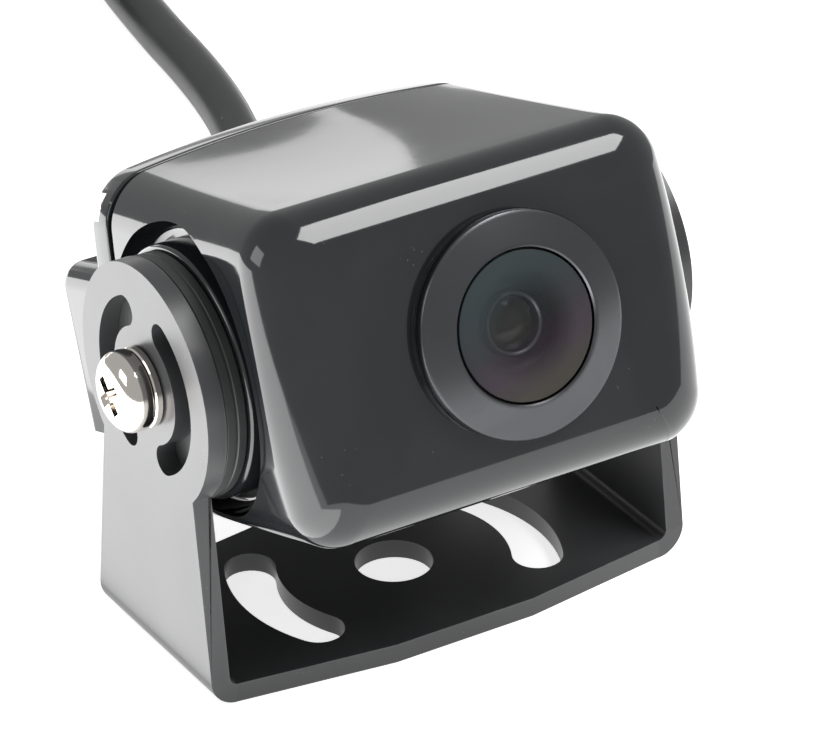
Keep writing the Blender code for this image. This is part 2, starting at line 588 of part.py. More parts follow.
def build_lead(finishes, stand_empty, stand, head_matrix):
    """The free lead, its stacked two-turn coil with a tie round it, and the tail to the connector."""
    add_tube("lead", smooth_curve(lead_route(stand, head_matrix), 2 * LEAD_DIAMETER), finishes["cable"])
    centre = along(0, -COIL_RADIUS)
    thick, low, high = LEAD_DIAMETER / 2, COIL_LOW, COIL_LOW + 2 * LEAD_DIAMETER
    soft = 1.2 * MM
    section = [(COIL_RADIUS - thick, low + soft), (COIL_RADIUS - thick + soft, low)]
    section += [(COIL_RADIUS + thick - soft, low), (COIL_RADIUS + thick, low + soft)]
    section += [(COIL_RADIUS + thick, high - soft), (COIL_RADIUS + thick - soft, high)]
    section += [(COIL_RADIUS - thick + soft, high), (COIL_RADIUS - thick, high - soft)]
    coil = turned(section, "Z", (centre.x, centre.y), 40)
    add_object("lead_coil", coil, finishes["cable"], stand_empty)
    loose, strap, half = GAP + thick, 0.6 * MM, 3 * MM
    x, y = centre.x - COIL_RADIUS, centre.y
    low, high = low - GAP, high + GAP
    tie = box((x - loose - strap, y - half, low - strap), (x + loose + strap, y + half, high + strap))
    tie = add_object("coil_tie", tie, finishes["rubber"], stand_empty)
    cut(tie, box((x - loose, y - half - MM, low), (x + loose, y + half + MM, high)))

    top, gap = COIL_LOW + 1.5 * LEAD_DIAMETER, coil_reach()
    heights = [(gap, top), (gap + 6 * MM, top - 0.8 * MM), (gap + 13 * MM, CONNECTOR_Z + 0.4 * MM)]
    heights += [(TAIL - 4 * MM, CONNECTOR_Z), (TAIL, CONNECTOR_Z)]
    tail = [stand @ along(distance, 0, height) for distance, height in heights]
    add_tube("lead_tail", smooth_curve(tail, 2 * LEAD_DIAMETER), finishes["cable"])


def build_connector(finishes, stand_empty):
    """A round four-pin connector: a tapered sleeve, a body with an insert, and a knurled nut that turns."""
    frame = empty("connector", along(TAIL + GAP, 0, CONNECTOR_Z), (0, 0, LEAVING_ANGLE - 90))
    frame.parent = stand_empty
    sleeve = tube(5.0 * MM, LEAD_DIAMETER / 2 + GAP, "Y", 0, 9 * MM, steps=FINE)
    add_object("connector_sleeve", sleeve, finishes["rubber"], frame)
    body = [
        (0, 9.3 * MM), (6.0 * MM, 9.3 * MM), (6.0 * MM, 12 * MM), (5.4 * MM, 12.6 * MM), (5.4 * MM, 29 * MM),
        (4.7 * MM, 29 * MM), (4.7 * MM, 16 * MM), (0, 16 * MM),
    ]  # fmt: skip
    add_object("connector_body", turned(body, "Y", steps=32), finishes["nickel"], frame)
    insert = add_object(
        "connector_insert", cylinder(4.4 * MM, "Y", 16.3 * MM, 21 * MM, steps=32), finishes["plastic"], frame
    )
    for number in range(1, 5):
        angle = math.radians(90 * number - 45)
        x, z = 2.3 * MM * math.cos(angle), 2.3 * MM * math.sin(angle)
        cut(insert, cylinder(0.9 * MM, "Y", 15 * MM, 22 * MM, (x, z), 10))
        pin = cylinder(0.55 * MM, "Y", 16.4 * MM, 27 * MM, (x, z), 10)
        add_object(f"connector_pin_{number}", pin, finishes["brass"], frame)
    nut = empty("connector_nut_axis", (0, 0, 0))
    nut.parent = frame
    collar = [(5.7 * MM, 13 * MM), (6.6 * MM, 13 * MM), (7.0 * MM, 13.4 * MM), (7.0 * MM, 24.6 * MM)]
    collar += [(6.6 * MM, 25 * MM), (5.7 * MM, 25 * MM)]
    add_object("connector_collar", turned(collar, "Y", steps=32), finishes["nickel"], nut)


def main():
    for obj in list(bpy.data.objects):
        bpy.data.objects.remove(obj)
    finishes = {
        "paint": material("black_gloss_paint", (0.012, 0.013, 0.014), 0.0, 0.12),
        "bracket": material("black_bracket_paint", (0.02, 0.021, 0.023), 0.0, 0.3),
        "ring": material("black_anodised", (0.03, 0.031, 0.034), 0.4, 0.28),
        "glass": material("coated_glass", (0.02, 0.03, 0.035), 0.0, 0.03, 0.5),
        "rubber": material("black_rubber", (0.025, 0.025, 0.025), 0.0, 0.6),
        "cable": material("cable_jacket", (0.02, 0.021, 0.022), 0.0, 0.4),
        "steel": material("nickel_plated_steel", (0.78, 0.76, 0.73), 1.0, 0.14),
        "nickel": material("nickel_plated_brass", (0.62, 0.6, 0.57), 1.0, 0.25),
        "brass": material("brass", (0.7, 0.52, 0.25), 1.0, 0.3),
        "board": material("circuit_board", (0.02, 0.12, 0.05), 0.0, 0.4),
        "chip": material("black_chip", (0.02, 0.02, 0.02), 0.0, 0.35),
        "plastic": material("black_plastic", (0.02, 0.02, 0.02), 0.0, 0.45),
        "ivory": material("ivory_nylon", (0.75, 0.72, 0.62), 0.0, 0.5),
    }
    stand = empty("stand", (0, BRACKET_Y, 0))
    head = empty("head", (0, BRACKET_Y, PIVOT_HEIGHT), (-HEAD_PITCH, 0, 0))
    build_bracket(stand, finishes["bracket"])
    build_front_housing(head, finishes["paint"])
    build_lens(head, finishes)
    build_boards(head, finishes)
    build_rear_cover(head, finishes)
    build_boot(head, finishes)
    build_pivots(head, finishes)
    bpy.context.view_layer.update()
    build_lead(finishes, stand, stand.matrix_world, head.matrix_world)
    build_connector(finishes, stand)


main()
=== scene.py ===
import math

import bpy
from mathutils import Matrix, Vector


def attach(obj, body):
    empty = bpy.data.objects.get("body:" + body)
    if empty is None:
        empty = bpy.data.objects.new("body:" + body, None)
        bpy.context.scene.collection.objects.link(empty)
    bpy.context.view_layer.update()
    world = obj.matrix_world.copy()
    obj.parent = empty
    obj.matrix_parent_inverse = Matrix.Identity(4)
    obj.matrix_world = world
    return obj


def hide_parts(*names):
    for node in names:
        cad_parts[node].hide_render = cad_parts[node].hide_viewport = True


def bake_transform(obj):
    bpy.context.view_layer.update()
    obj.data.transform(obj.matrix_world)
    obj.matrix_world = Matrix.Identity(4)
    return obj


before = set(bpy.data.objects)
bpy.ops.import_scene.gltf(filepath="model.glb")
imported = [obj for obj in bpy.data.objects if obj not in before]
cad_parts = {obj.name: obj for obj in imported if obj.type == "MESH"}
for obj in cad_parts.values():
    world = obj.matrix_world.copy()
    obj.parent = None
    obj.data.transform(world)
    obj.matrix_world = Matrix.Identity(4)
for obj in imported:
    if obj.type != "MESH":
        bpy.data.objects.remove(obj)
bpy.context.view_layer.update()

mm = 0.001
place = dict(
    bracketY=-10.8 * mm,  # the bracket's centre hole
    pivotHeight=30.4 * mm,
    headPitch=19.5,  # degrees, nose up
)
bracketPlace = Matrix.Translation((0, place["bracketY"], 0))
pivotPlace = Matrix.Translation((0, place["bracketY"], place["pivotHeight"]))
headPlace = pivotPlace @ Matrix.Rotation(math.radians(-place["headPitch"]), 4, "X")


# small helpers for modelling by hand
def objectMode():
    if bpy.context.mode != "OBJECT":
        bpy.ops.object.mode_set(mode="OBJECT")


def deselectAll():
    objectMode()
    bpy.ops.object.select_all(action="DESELECT")


def only(piece):
    deselectAll()
    piece.select_set(True)
    bpy.context.view_layer.objects.active = piece
    return piece


def edit(mode="FACE"):
    bpy.context.tool_settings.mesh_select_mode = [mode == kind for kind in ("VERT", "EDGE", "FACE")]
    bpy.ops.object.mode_set(mode="EDIT")


def pick(piece, kind, test):
    # selects the vertices, edges or faces that pass the test, and leaves the piece in edit mode
    objectMode()
    mesh = piece.data
    mesh.vertices.foreach_set("select", [False] * len(mesh.vertices))
    mesh.edges.foreach_set("select", [False] * len(mesh.edges))
    mesh.polygons.foreach_set("select", [False] * len(mesh.polygons))
    if kind == "FACE":
        for face in mesh.polygons:
            face.select = test(face.center, face.normal)
    elif kind == "EDGE":
        for edge in mesh.edges:
            a, b = (mesh.vertices[i].co for i in edge.vertices)
            edge.select = test(a, b)
    else:
        for vertex in mesh.vertices:
            vertex.select = test(vertex.co)
    edit(kind)


def named(name):
    piece = bpy.context.active_object
    piece.name = name
    piece.data.name = name
    return piece


def fixNormals(piece, merge=1e-6):
    only(piece)
    edit("VERT")
    bpy.ops.mesh.select_all(action="SELECT")
    bpy.ops.mesh.remove_doubles(threshold=merge)
    bpy.ops.mesh.normals_make_consistent(inside=False)
    objectMode()
    return piece


def settle(piece, matrix=None):
    # puts the piece's place into its mesh
    only(piece)
    if matrix is not None:
        piece.matrix_world = matrix @ piece.matrix_world
    bpy.ops.object.transform_apply(location=True, rotation=True, scale=True)
    return piece


def applyAll(piece):
    only(piece)
    for modifier in list(piece.modifiers):
        bpy.ops.object.modifier_apply(modifier=modifier.name)
    return piece


def combine(piece, tool, operation="DIFFERENCE"):
    modifier = piece.modifiers.new("combine", "BOOLEAN")
    modifier.operation = operation
    modifier.solver = "MANIFOLD"
    modifier.object = tool
    only(piece)
    bpy.ops.object.modifier_apply(modifier=modifier.name)
    bpy.data.objects.remove(tool)
    return piece


def roundEdges(piece, width, segments=3, angle=35):
    modifier = piece.modifiers.new("rounded", "BEVEL")
    modifier.width = width
    modifier.segments = segments
    modifier.limit_method = "ANGLE"
    modifier.angle_limit = math.radians(angle)
    modifier.harden_normals = False
    return applyAll(piece)


def smooth(piece, angle=35, weighted=True):
    only(piece)
    bpy.ops.object.shade_smooth_by_angle(angle=math.radians(angle))
    if weighted:
        modifier = piece.modifiers.new("weighted", "WEIGHTED_NORMAL")
        modifier.keep_sharp = True
        applyAll(piece)
    return piece


def turned(name, profile, steps=96, closed=True):
    # a profile of (radius, height) turned about Z: a circle that is extruded and resized along the profile
    radius, height = profile[0]
    deselectAll()
    bpy.ops.mesh.primitive_circle_add(vertices=steps, radius=radius, location=(0, 0, height))
    piece = settle(named(name))
    edit("EDGE")
    bpy.ops.mesh.select_all(action="SELECT")
    if not closed:
        bpy.ops.mesh.edge_face_add()
    loop = profile[1:] + (profile[:1] if closed else [])
    for nextRadius, nextHeight in loop:
        bpy.ops.mesh.extrude_region_move(TRANSFORM_OT_translate={"value": (0, 0, nextHeight - height)})
        k = nextRadius / radius
        bpy.ops.transform.resize(value=(k, k, 1), center_override=(0, 0, nextHeight))
        radius, height = nextRadius, nextHeight
    objectMode()
    return fixNormals(piece)


def inMm(*pairs):
    return [(a * mm, b * mm) for a, b in pairs]


def block(name, low, high):
    deselectAll()
    centre = [(a + b) / 2 for a, b in zip(low, high)]
    size = [b - a for a, b in zip(low, high)]
    bpy.ops.mesh.primitive_cube_add(size=1, location=centre, scale=size)
    return settle(named(name))


def rod(name, radius, low, high, axis="Z", centre=(0, 0), sides=64):
    # a cylinder between two places along an axis
    deselectAll()
    middle, a, b = (low + high) / 2, *centre
    where = {"X": (middle, a, b), "Y": (a, middle, b), "Z": (a, b, middle)}[axis]
    turn = {"X": (0, math.pi / 2, 0), "Y": (math.pi / 2, 0, 0), "Z": (0, 0, 0)}[axis]
    bpy.ops.mesh.primitive_cylinder_add(
        vertices=sides, radius=radius, depth=high - low, location=where, rotation=turn
    )
    return settle(named(name))


def drawnOutline(name, points, axis, low, high):
    # a circle primitive whose corners are moved onto an outline, then extruded along an axis
    deselectAll()
    bpy.ops.mesh.primitive_circle_add(vertices=len(points), radius=0.01, fill_type="NGON")
    piece = named(name)
    for vertex, (a, b) in zip(piece.data.vertices, points):
        vertex.co = {"X": (low, a, b), "Y": (a, low, b), "Z": (a, b, low)}[axis]
    edit("FACE")
    bpy.ops.mesh.select_all(action="SELECT")
    step = {"X": (high - low, 0, 0), "Y": (0, high - low, 0), "Z": (0, 0, high - low)}[axis]
    bpy.ops.mesh.extrude_region_move(TRANSFORM_OT_translate={"value": step})
    objectMode()
    return fixNormals(piece)


def arc(centre, radius, start, end, steps):
    turns = [math.radians(start + (end - start) * i / steps) for i in range(steps + 1)]
    return [(centre[0] + radius * math.cos(t), centre[1] + radius * math.sin(t)) for t in turns]


def slotOutline(centre, radius, width, middle, half, steps=28):
    start, end = middle - half, middle + half
    points = arc(centre, radius + width / 2, start, end, steps)
    tip = arc(centre, radius, end, end, 1)[0]
    points += arc(tip, width / 2, end, end + 180, 14)[1:-1]
    points += arc(centre, radius - width / 2, end, start, steps)
    tip = arc(centre, radius, start, start, 1)[0]
    points += arc(tip, width / 2, start + 180, start + 360, 14)[1:-1]
    return points


# material groups
def newGroup(name, inputs, outputs):
    group = bpy.data.node_groups.new(name, "ShaderNodeTree")
    for label, kind, value in inputs:
        socket = group.interface.new_socket(label, in_out="INPUT", socket_type=kind)
        if value is not None:
            socket.default_value = value
    for label, kind in outputs:
        group.interface.new_socket(label, in_out="OUTPUT", socket_type=kind)
    return group, group.nodes.new("NodeGroupInput"), group.nodes.new("NodeGroupOutput")


def node(tree, kind, label=None, **settings):
    made = tree.nodes.new(kind)
    if label:
        made.label = label
    for key, value in settings.items():
        setattr(made, key, value)
    return made


def setValues(made, **values):
    for key, value in values.items():
        made.inputs[key.replace("_", " ")].default_value = value
    return made


def mathNode(tree, operation, a, b=None, clamp=False):
    made = node(tree, "ShaderNodeMath", operation=operation, use_clamp=clamp)
    for slot, value in enumerate((a, b)):
        if value is None:
            continue
        if isinstance(value, (int, float)):
            made.inputs[slot].default_value = value
        else:
            tree.links.new(value, made.inputs[slot])
    return made.outputs[0]


def ramp(tree, source, stops):
    made = node(tree, "ShaderNodeValToRGB")
    tree.links.new(source, made.inputs[0])
    points = made.color_ramp.elements
    while len(points) < len(stops):
        points.new(0.5)
    for point, (position, colour) in zip(points, stops):
        point.position = position
        point.color = colour if len(colour) == 4 else (*colour, 1)
    return made.outputs[0]


def buildSpecks():
    # Lint and dust: small spots thinned out by a coarser noise
    group, start, end = newGroup(
        "dustSpecks",
        [
            ("Vector", "NodeSocketVector", None),
            ("Scale", "NodeSocketFloat", 900.0),
            ("Amount", "NodeSocketFloat", 0.3),
        ],
        [("Mask", "NodeSocketFloat")],
    )
    cells = node(group, "ShaderNodeTexVoronoi", feature="F1")
    noise = node(group, "ShaderNodeTexNoise")
    setValues(noise, Scale=140.0, Detail=2.0)
    group.links.new(start.outputs["Vector"], cells.inputs["Vector"])
    group.links.new(start.outputs["Scale"], cells.inputs["Scale"])
    group.links.new(start.outputs["Vector"], noise.inputs["Vector"])
    spot = mathNode(group, "LESS_THAN", cells.outputs["Distance"], 0.11)
    bare = mathNode(group, "GREATER_THAN", noise.outputs["Fac"], 0.62)
    both = mathNode(group, "MULTIPLY", spot, bare)
    group.links.new(mathNode(group, "MULTIPLY", both, start.outputs["Amount"]), end.inputs["Mask"])
    return group


def buildEdgeWear():
    # A mask that is bright along convex edges, broken up by noise
    group, start, end = newGroup(
        "edgeWear",
        [
            ("Vector", "NodeSocketVector", None),
            ("Radius", "NodeSocketFloat", 0.0004),
            ("Breakup", "NodeSocketFloat", 260.0),
        ],
        [("Mask", "NodeSocketFloat")],
    )
    bevel = node(group, "ShaderNodeBevel", samples=4)
    geometry = node(group, "ShaderNodeNewGeometry")
    dot = node(group, "ShaderNodeVectorMath", operation="DOT_PRODUCT")
    noise = node(group, "ShaderNodeTexNoise")
    setValues(noise, Detail=4.0, Roughness=0.65)
    group.links.new(start.outputs["Radius"], bevel.inputs["Radius"])
    group.links.new(bevel.outputs["Normal"], dot.inputs[0])
    group.links.new(geometry.outputs["Normal"], dot.inputs[1])
    group.links.new(start.outputs["Vector"], noise.inputs["Vector"])
    group.links.new(start.outputs["Breakup"], noise.inputs["Scale"])
    rise = mathNode(group, "SUBTRACT", 1.0, dot.outputs["Value"])
    rise = mathNode(group, "MULTIPLY", rise, 9.0, clamp=True)
    broken = mathNode(group, "MULTIPLY", noise.outputs["Fac"], rise)
    broken = mathNode(group, "SUBTRACT", broken, 0.38)
    group.links.new(mathNode(group, "MULTIPLY", broken, 4.0, clamp=True), end.inputs["Mask"])
    return group


def buildRipple():
    # Orange peel of sprayed paint, or the fine grain of moulded plastic: two sizes of noise
    group, start, end = newGroup(
        "paintRipple",
        [
            ("Vector", "NodeSocketVector", None),
            ("Coarse", "NodeSocketFloat", 350.0),
            ("Fine", "NodeSocketFloat", 1800.0),
            ("Fine Share", "NodeSocketFloat", 0.3),
        ],
        [("Height", "NodeSocketFloat"), ("Smudge", "NodeSocketFloat")],
    )
    heights = []
    for key in ("Coarse", "Fine"):
        noise = node(group, "ShaderNodeTexNoise")
        setValues(noise, Detail=2.0, Roughness=0.5)
        group.links.new(start.outputs["Vector"], noise.inputs["Vector"])
        group.links.new(start.outputs[key], noise.inputs["Scale"])
        heights.append(noise.outputs["Fac"])
    fine = mathNode(group, "MULTIPLY", heights[1], start.outputs["Fine Share"])
    group.links.new(mathNode(group, "ADD", heights[0], fine), end.inputs["Height"])
    smudge = node(group, "ShaderNodeTexNoise")
    setValues(smudge, Scale=55.0, Detail=5.0, Roughness=0.6, Distortion=0.6)
    group.links.new(start.outputs["Vector"], smudge.inputs["Vector"])
    group.links.new(smudge.outputs["Fac"], end.inputs["Smudge"])
    return group


def buildGroups():
    return dict(specks=buildSpecks(), wear=buildEdgeWear(), ripple=buildRipple())


groups = buildGroups()


def useGroup(tree, key, source, **values):
    made = node(tree, "ShaderNodeGroup", node_tree=groups[key])
    tree.links.new(source, made.inputs["Vector"])
    return setValues(made, **values)


def startMaterial(name, **plain):
    # A Principled material that reads Object coordinates, with its uniform values on its own sockets
    made = bpy.data.materials.new(name)
    made.use_nodes = True
    tree = made.node_tree
    shader = tree.nodes["Principled BSDF"]
    setValues(shader, **plain)
    where = node(tree, "ShaderNodeTexCoord").outputs["Object"]
    return made, tree, shader, where


def mixColours(tree, factor, first, second, blend="MIX"):
    made = node(tree, "ShaderNodeMix", data_type="RGBA", blend_type=blend)
    for slot, value in ((0, factor), (6, first), (7, second)):
        if isinstance(value, bpy.types.NodeSocket):
            tree.links.new(value, made.inputs[slot])
        elif slot == 0:
            made.inputs[slot].default_value = value
        else:
            made.inputs[slot].default_value = (*value, 1)
    return made.outputs[2]


def mapRange(tree, source, low, high, toLow, toHigh):
    made = node(tree, "ShaderNodeMapRange")
    tree.links.new(source, made.inputs["Value"])
    for key, value in (("From Min", low), ("From Max", high), ("To Min", toLow), ("To Max", toHigh)):
        made.inputs[key].default_value = value
    return made.outputs["Result"]


def addBump(tree, shader, height, strength, distance):
    bump = node(tree, "ShaderNodeBump")
    setValues(bump, Strength=strength, Distance=distance)
    tree.links.new(height, bump.inputs["Height"])
    tree.links.new(bump.outputs["Normal"], shader.inputs["Normal"])


def paintMaterial(name, look):
    made, tree, shader, where = startMaterial(
        name, Metallic=0.0, IOR=look["ior"], Coat_Weight=look["coat"], Coat_Roughness=look["coatRoughness"]
    )
    ripple = useGroup(tree, "ripple", where, Coarse=look["coarse"], Fine=look["fine"], Fine_Share=0.3)
    specks = useGroup(tree, "specks", where, Scale=look["speckScale"], Amount=look["specks"])
    wear = useGroup(tree, "wear", where, Radius=look["wearRadius"], Breakup=240.0)
    tint = mapRange(tree, ripple.outputs["Smudge"], 0.35, 0.7, 0.0, 1.0)
    base = mixColours(tree, tint, look["colour"], look["colourSmudged"])
    edge = mathNode(tree, "MULTIPLY", wear.outputs["Mask"], look["wear"])
    base = mixColours(tree, edge, base, look["worn"])
    base = mixColours(tree, specks.outputs["Mask"], base, (0.45, 0.45, 0.44))
    tree.links.new(base, shader.inputs["Base Color"])
    rough = mapRange(tree, ripple.outputs["Smudge"], 0.3, 0.75, look["roughLow"], look["roughHigh"])
    rough = mathNode(tree, "ADD", rough, mathNode(tree, "MULTIPLY", edge, 0.15))
    tree.links.new(rough, shader.inputs["Roughness"])
    addBump(tree, shader, ripple.outputs["Height"], look["bump"], 0.00005)
    return made


headLook = dict(
    colour=(0.0095, 0.011, 0.0125),
    colourSmudged=(0.015, 0.0165, 0.018),
    worn=(0.05, 0.05, 0.052),
    wear=0.5,
    wearRadius=0.0003,
    roughLow=0.05,
    roughHigh=0.12,
    ior=1.5,
    coat=0.35,
    coatRoughness=0.04,
    coarse=330.0,
    fine=1500.0,
    bump=0.06,
    specks=0.12,
    speckScale=1500.0,
)
bracketLook = dict(
    colour=(0.032, 0.033, 0.035),
    colourSmudged=(0.042, 0.043, 0.045),
    worn=(0.12, 0.12, 0.125),
    wear=0.6,
    wearRadius=0.00035,
    roughLow=0.30,
    roughHigh=0.40,
    ior=1.5,
    coat=0.2,
    coatRoughness=0.28,
    coarse=600.0,
    fine=2600.0,
    bump=0.12,
    specks=0.15,
    speckScale=1500.0,
)


def joinSurface(tree, shader, ripple, base, look, distance):
    tree.links.new(base, shader.inputs["Base Color"])
    rough = mapRange(tree, ripple.outputs["Smudge"], 0.3, 0.75, look["roughLow"], look["roughHigh"])
    tree.links.new(rough, shader.inputs["Roughness"])
    addBump(tree, shader, ripple.outputs["Height"], look["bump"], distance)


def metalMaterial(name, look):
    made, tree, shader, where = startMaterial(name, Metallic=1.0)
    ripple = useGroup(tree, "ripple", where, Coarse=look["coarse"], Fine=look["fine"], Fine_Share=0.5)
    wear = useGroup(tree, "wear", where, Radius=0.0002, Breakup=500.0)
    tint = mapRange(tree, ripple.outputs["Smudge"], 0.35, 0.7, 0.0, 1.0)
    base = mixColours(tree, tint, look["colour"], look["colourDull"])
    base = mixColours(tree, mathNode(tree, "MULTIPLY", wear.outputs["Mask"], 0.5), base, look["edge"])
    joinSurface(tree, shader, ripple, base, look, 0.00004)
    return made


nickelLook = dict(
    colour=(0.80, 0.76, 0.71), colourDull=(0.68, 0.64, 0.59), edge=(0.92, 0.90, 0.87),
    roughLow=0.05, roughHigh=0.14, coarse=500.0, fine=2200.0, bump=0.05,
)  # fmt: skip
satinNickelLook = dict(
    colour=(0.62, 0.60, 0.57), colourDull=(0.50, 0.48, 0.45), edge=(0.80, 0.78, 0.75),
    roughLow=0.18, roughHigh=0.32, coarse=400.0, fine=2600.0, bump=0.12,
)  # fmt: skip
brassLook = dict(
    colour=(0.72, 0.53, 0.25), colourDull=(0.60, 0.42, 0.18), edge=(0.85, 0.68, 0.38),
    roughLow=0.15, roughHigh=0.30, coarse=400.0, fine=2600.0, bump=0.1,
)  # fmt: skip
anodisedLook = dict(
    colour=(0.105, 0.107, 0.112), colourDull=(0.080, 0.081, 0.086), edge=(0.16, 0.16, 0.17),
    roughLow=0.24, roughHigh=0.34, coarse=500.0, fine=3000.0, bump=0.06,
)  # fmt: skip
lensRingLook = dict(
    colour=(0.24, 0.25, 0.27), colourDull=(0.19, 0.20, 0.22), edge=(0.34, 0.35, 0.36),
    roughLow=0.30, roughHigh=0.40, coarse=500.0, fine=3000.0, bump=0.05,
)  # fmt: skip


def mouldedMaterial(name, look):
    # rubber, cable jacket, plastic and coated board: a tinted base with fine grain and dust
    made, tree, shader, where = startMaterial(name, Metallic=0.0, IOR=look.get("ior", 1.5))
    ripple = useGroup(tree, "ripple", where, Coarse=look["coarse"], Fine=look["fine"], Fine_Share=0.6)
    specks = useGroup(tree, "specks", where, Scale=800.0, Amount=look["specks"])
    tint = mapRange(tree, ripple.outputs["Smudge"], 0.35, 0.7, 0.0, 1.0)
    base = mixColours(tree, tint, look["colour"], look["colourDull"])
    base = mixColours(tree, specks.outputs["Mask"], base, look["speckColour"])
    joinSurface(tree, shader, ripple, base, look, 0.00006)
    return made


rubberLook = dict(
    colour=(0.022, 0.022, 0.022), colourDull=(0.036, 0.036, 0.035), speckColour=(0.2, 0.2, 0.19),
    roughLow=0.45, roughHigh=0.65, coarse=500.0, fine=2500.0, bump=0.35, specks=0.5,
)  # fmt: skip
padLook = dict(
    colour=(0.017, 0.020, 0.019), colourDull=(0.026, 0.030, 0.028), speckColour=(0.1, 0.1, 0.1),
    roughLow=0.40, roughHigh=0.60, coarse=700.0, fine=2500.0, bump=0.4, specks=0.4,
)  # fmt: skip
jacketLook = dict(
    colour=(0.020, 0.021, 0.022), colourDull=(0.032, 0.033, 0.034), speckColour=(0.25, 0.25, 0.24),
    roughLow=0.30, roughHigh=0.45, coarse=450.0, fine=2200.0, bump=0.25, specks=0.5,
)  # fmt: skip
blackPlasticLook = dict(
    colour=(0.018, 0.018, 0.019), colourDull=(0.028, 0.028, 0.029), speckColour=(0.15, 0.15, 0.15),
    roughLow=0.35, roughHigh=0.5, coarse=700.0, fine=3000.0, bump=0.3, specks=0.3,
)  # fmt: skip
chipLook = dict(
    colour=(0.015, 0.016, 0.020), colourDull=(0.024, 0.025, 0.032), speckColour=(0.1, 0.1, 0.1),
    roughLow=0.15, roughHigh=0.25, coarse=900.0, fine=3000.0, bump=0.05, specks=0.1,
)  # fmt: skip
ivoryLook = dict(
    colour=(0.74, 0.71, 0.61), colourDull=(0.66, 0.62, 0.52), speckColour=(0.5, 0.48, 0.42),
    roughLow=0.35, roughHigh=0.5, coarse=700.0, fine=3000.0, bump=0.2, specks=0.2,
)  # fmt: skip
boardLook = dict(
    colour=(0.015, 0.10, 0.045), colourDull=(0.022, 0.14, 0.06), speckColour=(0.55, 0.5, 0.35),
    roughLow=0.25, roughHigh=0.4, coarse=900.0, fine=2400.0, bump=0.3, specks=0.8,
)  # fmt: skip


def frontGlassMaterial():
    # Front glass: a dark well whose base colour holds a painted reflection of its coating, blue-green at the
    # top and purple below
    made, tree, shader, where = startMaterial(
        "frontGlassPaintedReflection",
        Metallic=0.0,
        IOR=1.42,
        Transmission_Weight=0.0,
        Coat_Weight=0.25,
        Coat_Roughness=0.02,
    )
    gradient = node(tree, "ShaderNodeSeparateXYZ")
    turnedIn = node(tree, "ShaderNodeMapping", vector_type="TEXTURE")
    centre = headPlace @ Vector((lens["x"], lens["lipY"], 0))
    turnedIn.inputs["Location"].default_value = centre
    turnedIn.inputs["Rotation"].default_value = (math.radians(-place["headPitch"]), 0, 0)
    tree.links.new(where, turnedIn.inputs["Vector"])
    tree.links.new(turnedIn.outputs["Vector"], gradient.inputs["Vector"])
    height = mapRange(tree, gradient.outputs["Z"], -lens["opening"], lens["opening"], 0.0, 1.0)
    # the painted reflection leans so that its lower colours reach higher towards the right
    across = mathNode(tree, "MULTIPLY", gradient.outputs["X"], 22.0)
    height = mathNode(tree, "SUBTRACT", height, across)
    # painted reflection of the coating: olive at the bottom, then purple, dark in the middle and blue-green
    # at the top
    colour = ramp(
        tree,
        height,
        [
            (0.05, (0.046, 0.042, 0.034)),
            (0.3, (0.044, 0.031, 0.044)),
            (0.5, (0.027, 0.029, 0.032)),
            (0.75, (0.024, 0.033, 0.037)),
            (1.0, (0.028, 0.040, 0.043)),
        ],
    )
    tree.links.new(colour, shader.inputs["Base Color"])
    distance = node(tree, "ShaderNodeVectorMath", operation="LENGTH")
    tree.links.new(turnedIn.outputs["Vector"], distance.inputs[0])
    clear = mapRange(tree, distance.outputs["Value"], 2.8 * mm, 5.6 * mm, 0.25, 0.9)
    tree.links.new(clear, shader.inputs["Alpha"])
    ripple = useGroup(tree, "ripple", where, Coarse=120.0, Fine=1800.0, Fine_Share=0.1)
    rough = mapRange(tree, ripple.outputs["Smudge"], 0.3, 0.75, 0.01, 0.035)
    tree.links.new(rough, shader.inputs["Roughness"])
    return made


def innerGlassMaterial():
    made, tree, shader, where = startMaterial(
        "coatedInnerGlass", Metallic=0.0, IOR=1.5, Coat_Weight=0.15, Coat_Roughness=0.02
    )
    ripple = useGroup(tree, "ripple", where, Coarse=200.0, Fine=1800.0, Fine_Share=0.1)
    colour = ramp(
        tree, ripple.outputs["Smudge"], [(0.3, (0.022, 0.020, 0.010)), (0.7, (0.050, 0.046, 0.022))]
    )
    tree.links.new(colour, shader.inputs["Base Color"])
    tree.links.new(mapRange(tree, ripple.outputs["Height"], 0.3, 0.8, 0.02, 0.06), shader.inputs["Roughness"])
    return made


# the lens sizes, used by its pieces and its glass
lens = dict(
    x=2.2 * mm, faceY=-20.2 * mm, turretRadius=10.9 * mm, edgeY=-21.7 * mm,
    lipY=-22.5 * mm, opening=7.4 * mm, bore=7.8 * mm, turretHeight=0.4 * mm, dome=0.2 * mm,
)  # fmt: skip
finish = dict(
    headPaint=paintMaterial("glossBlackHeadPaint", headLook),
    bracketPaint=paintMaterial("semiGlossBracketPaint", bracketLook),
    nickel=metalMaterial("brightNickel", nickelLook),
    satinNickel=metalMaterial("satinNickel", satinNickelLook),
    brass=metalMaterial("turnedBrass", brassLook),
    anodised=metalMaterial("blackAnodising", anodisedLook),
    lensRing=metalMaterial("greyLensRing", lensRingLook),
    rubber=mouldedMaterial("mouldedRubber", rubberLook),
    pad=mouldedMaterial("fibrePad", padLook),
    jacket=mouldedMaterial("leadJacket", jacketLook),
    plastic=mouldedMaterial("blackPlastic", blackPlasticLook),
    chip=mouldedMaterial("chipEpoxy", chipLook),
    ivory=mouldedMaterial("ivoryNylon", ivoryLook),
    board=mouldedMaterial("solderMask", boardLook),
    frontGlass=frontGlassMaterial(),
    innerGlass=innerGlassMaterial(),
)
print("materials ready")


def finishPiece(piece, look, slot, body, *nodes):
    # material, slot (not used), body and the CAD nodes that the piece stands for
    piece.data.materials.clear()
    piece.data.materials.append(finish[look])
    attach(piece, body)
    if nodes:
        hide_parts(*nodes)
    return piece


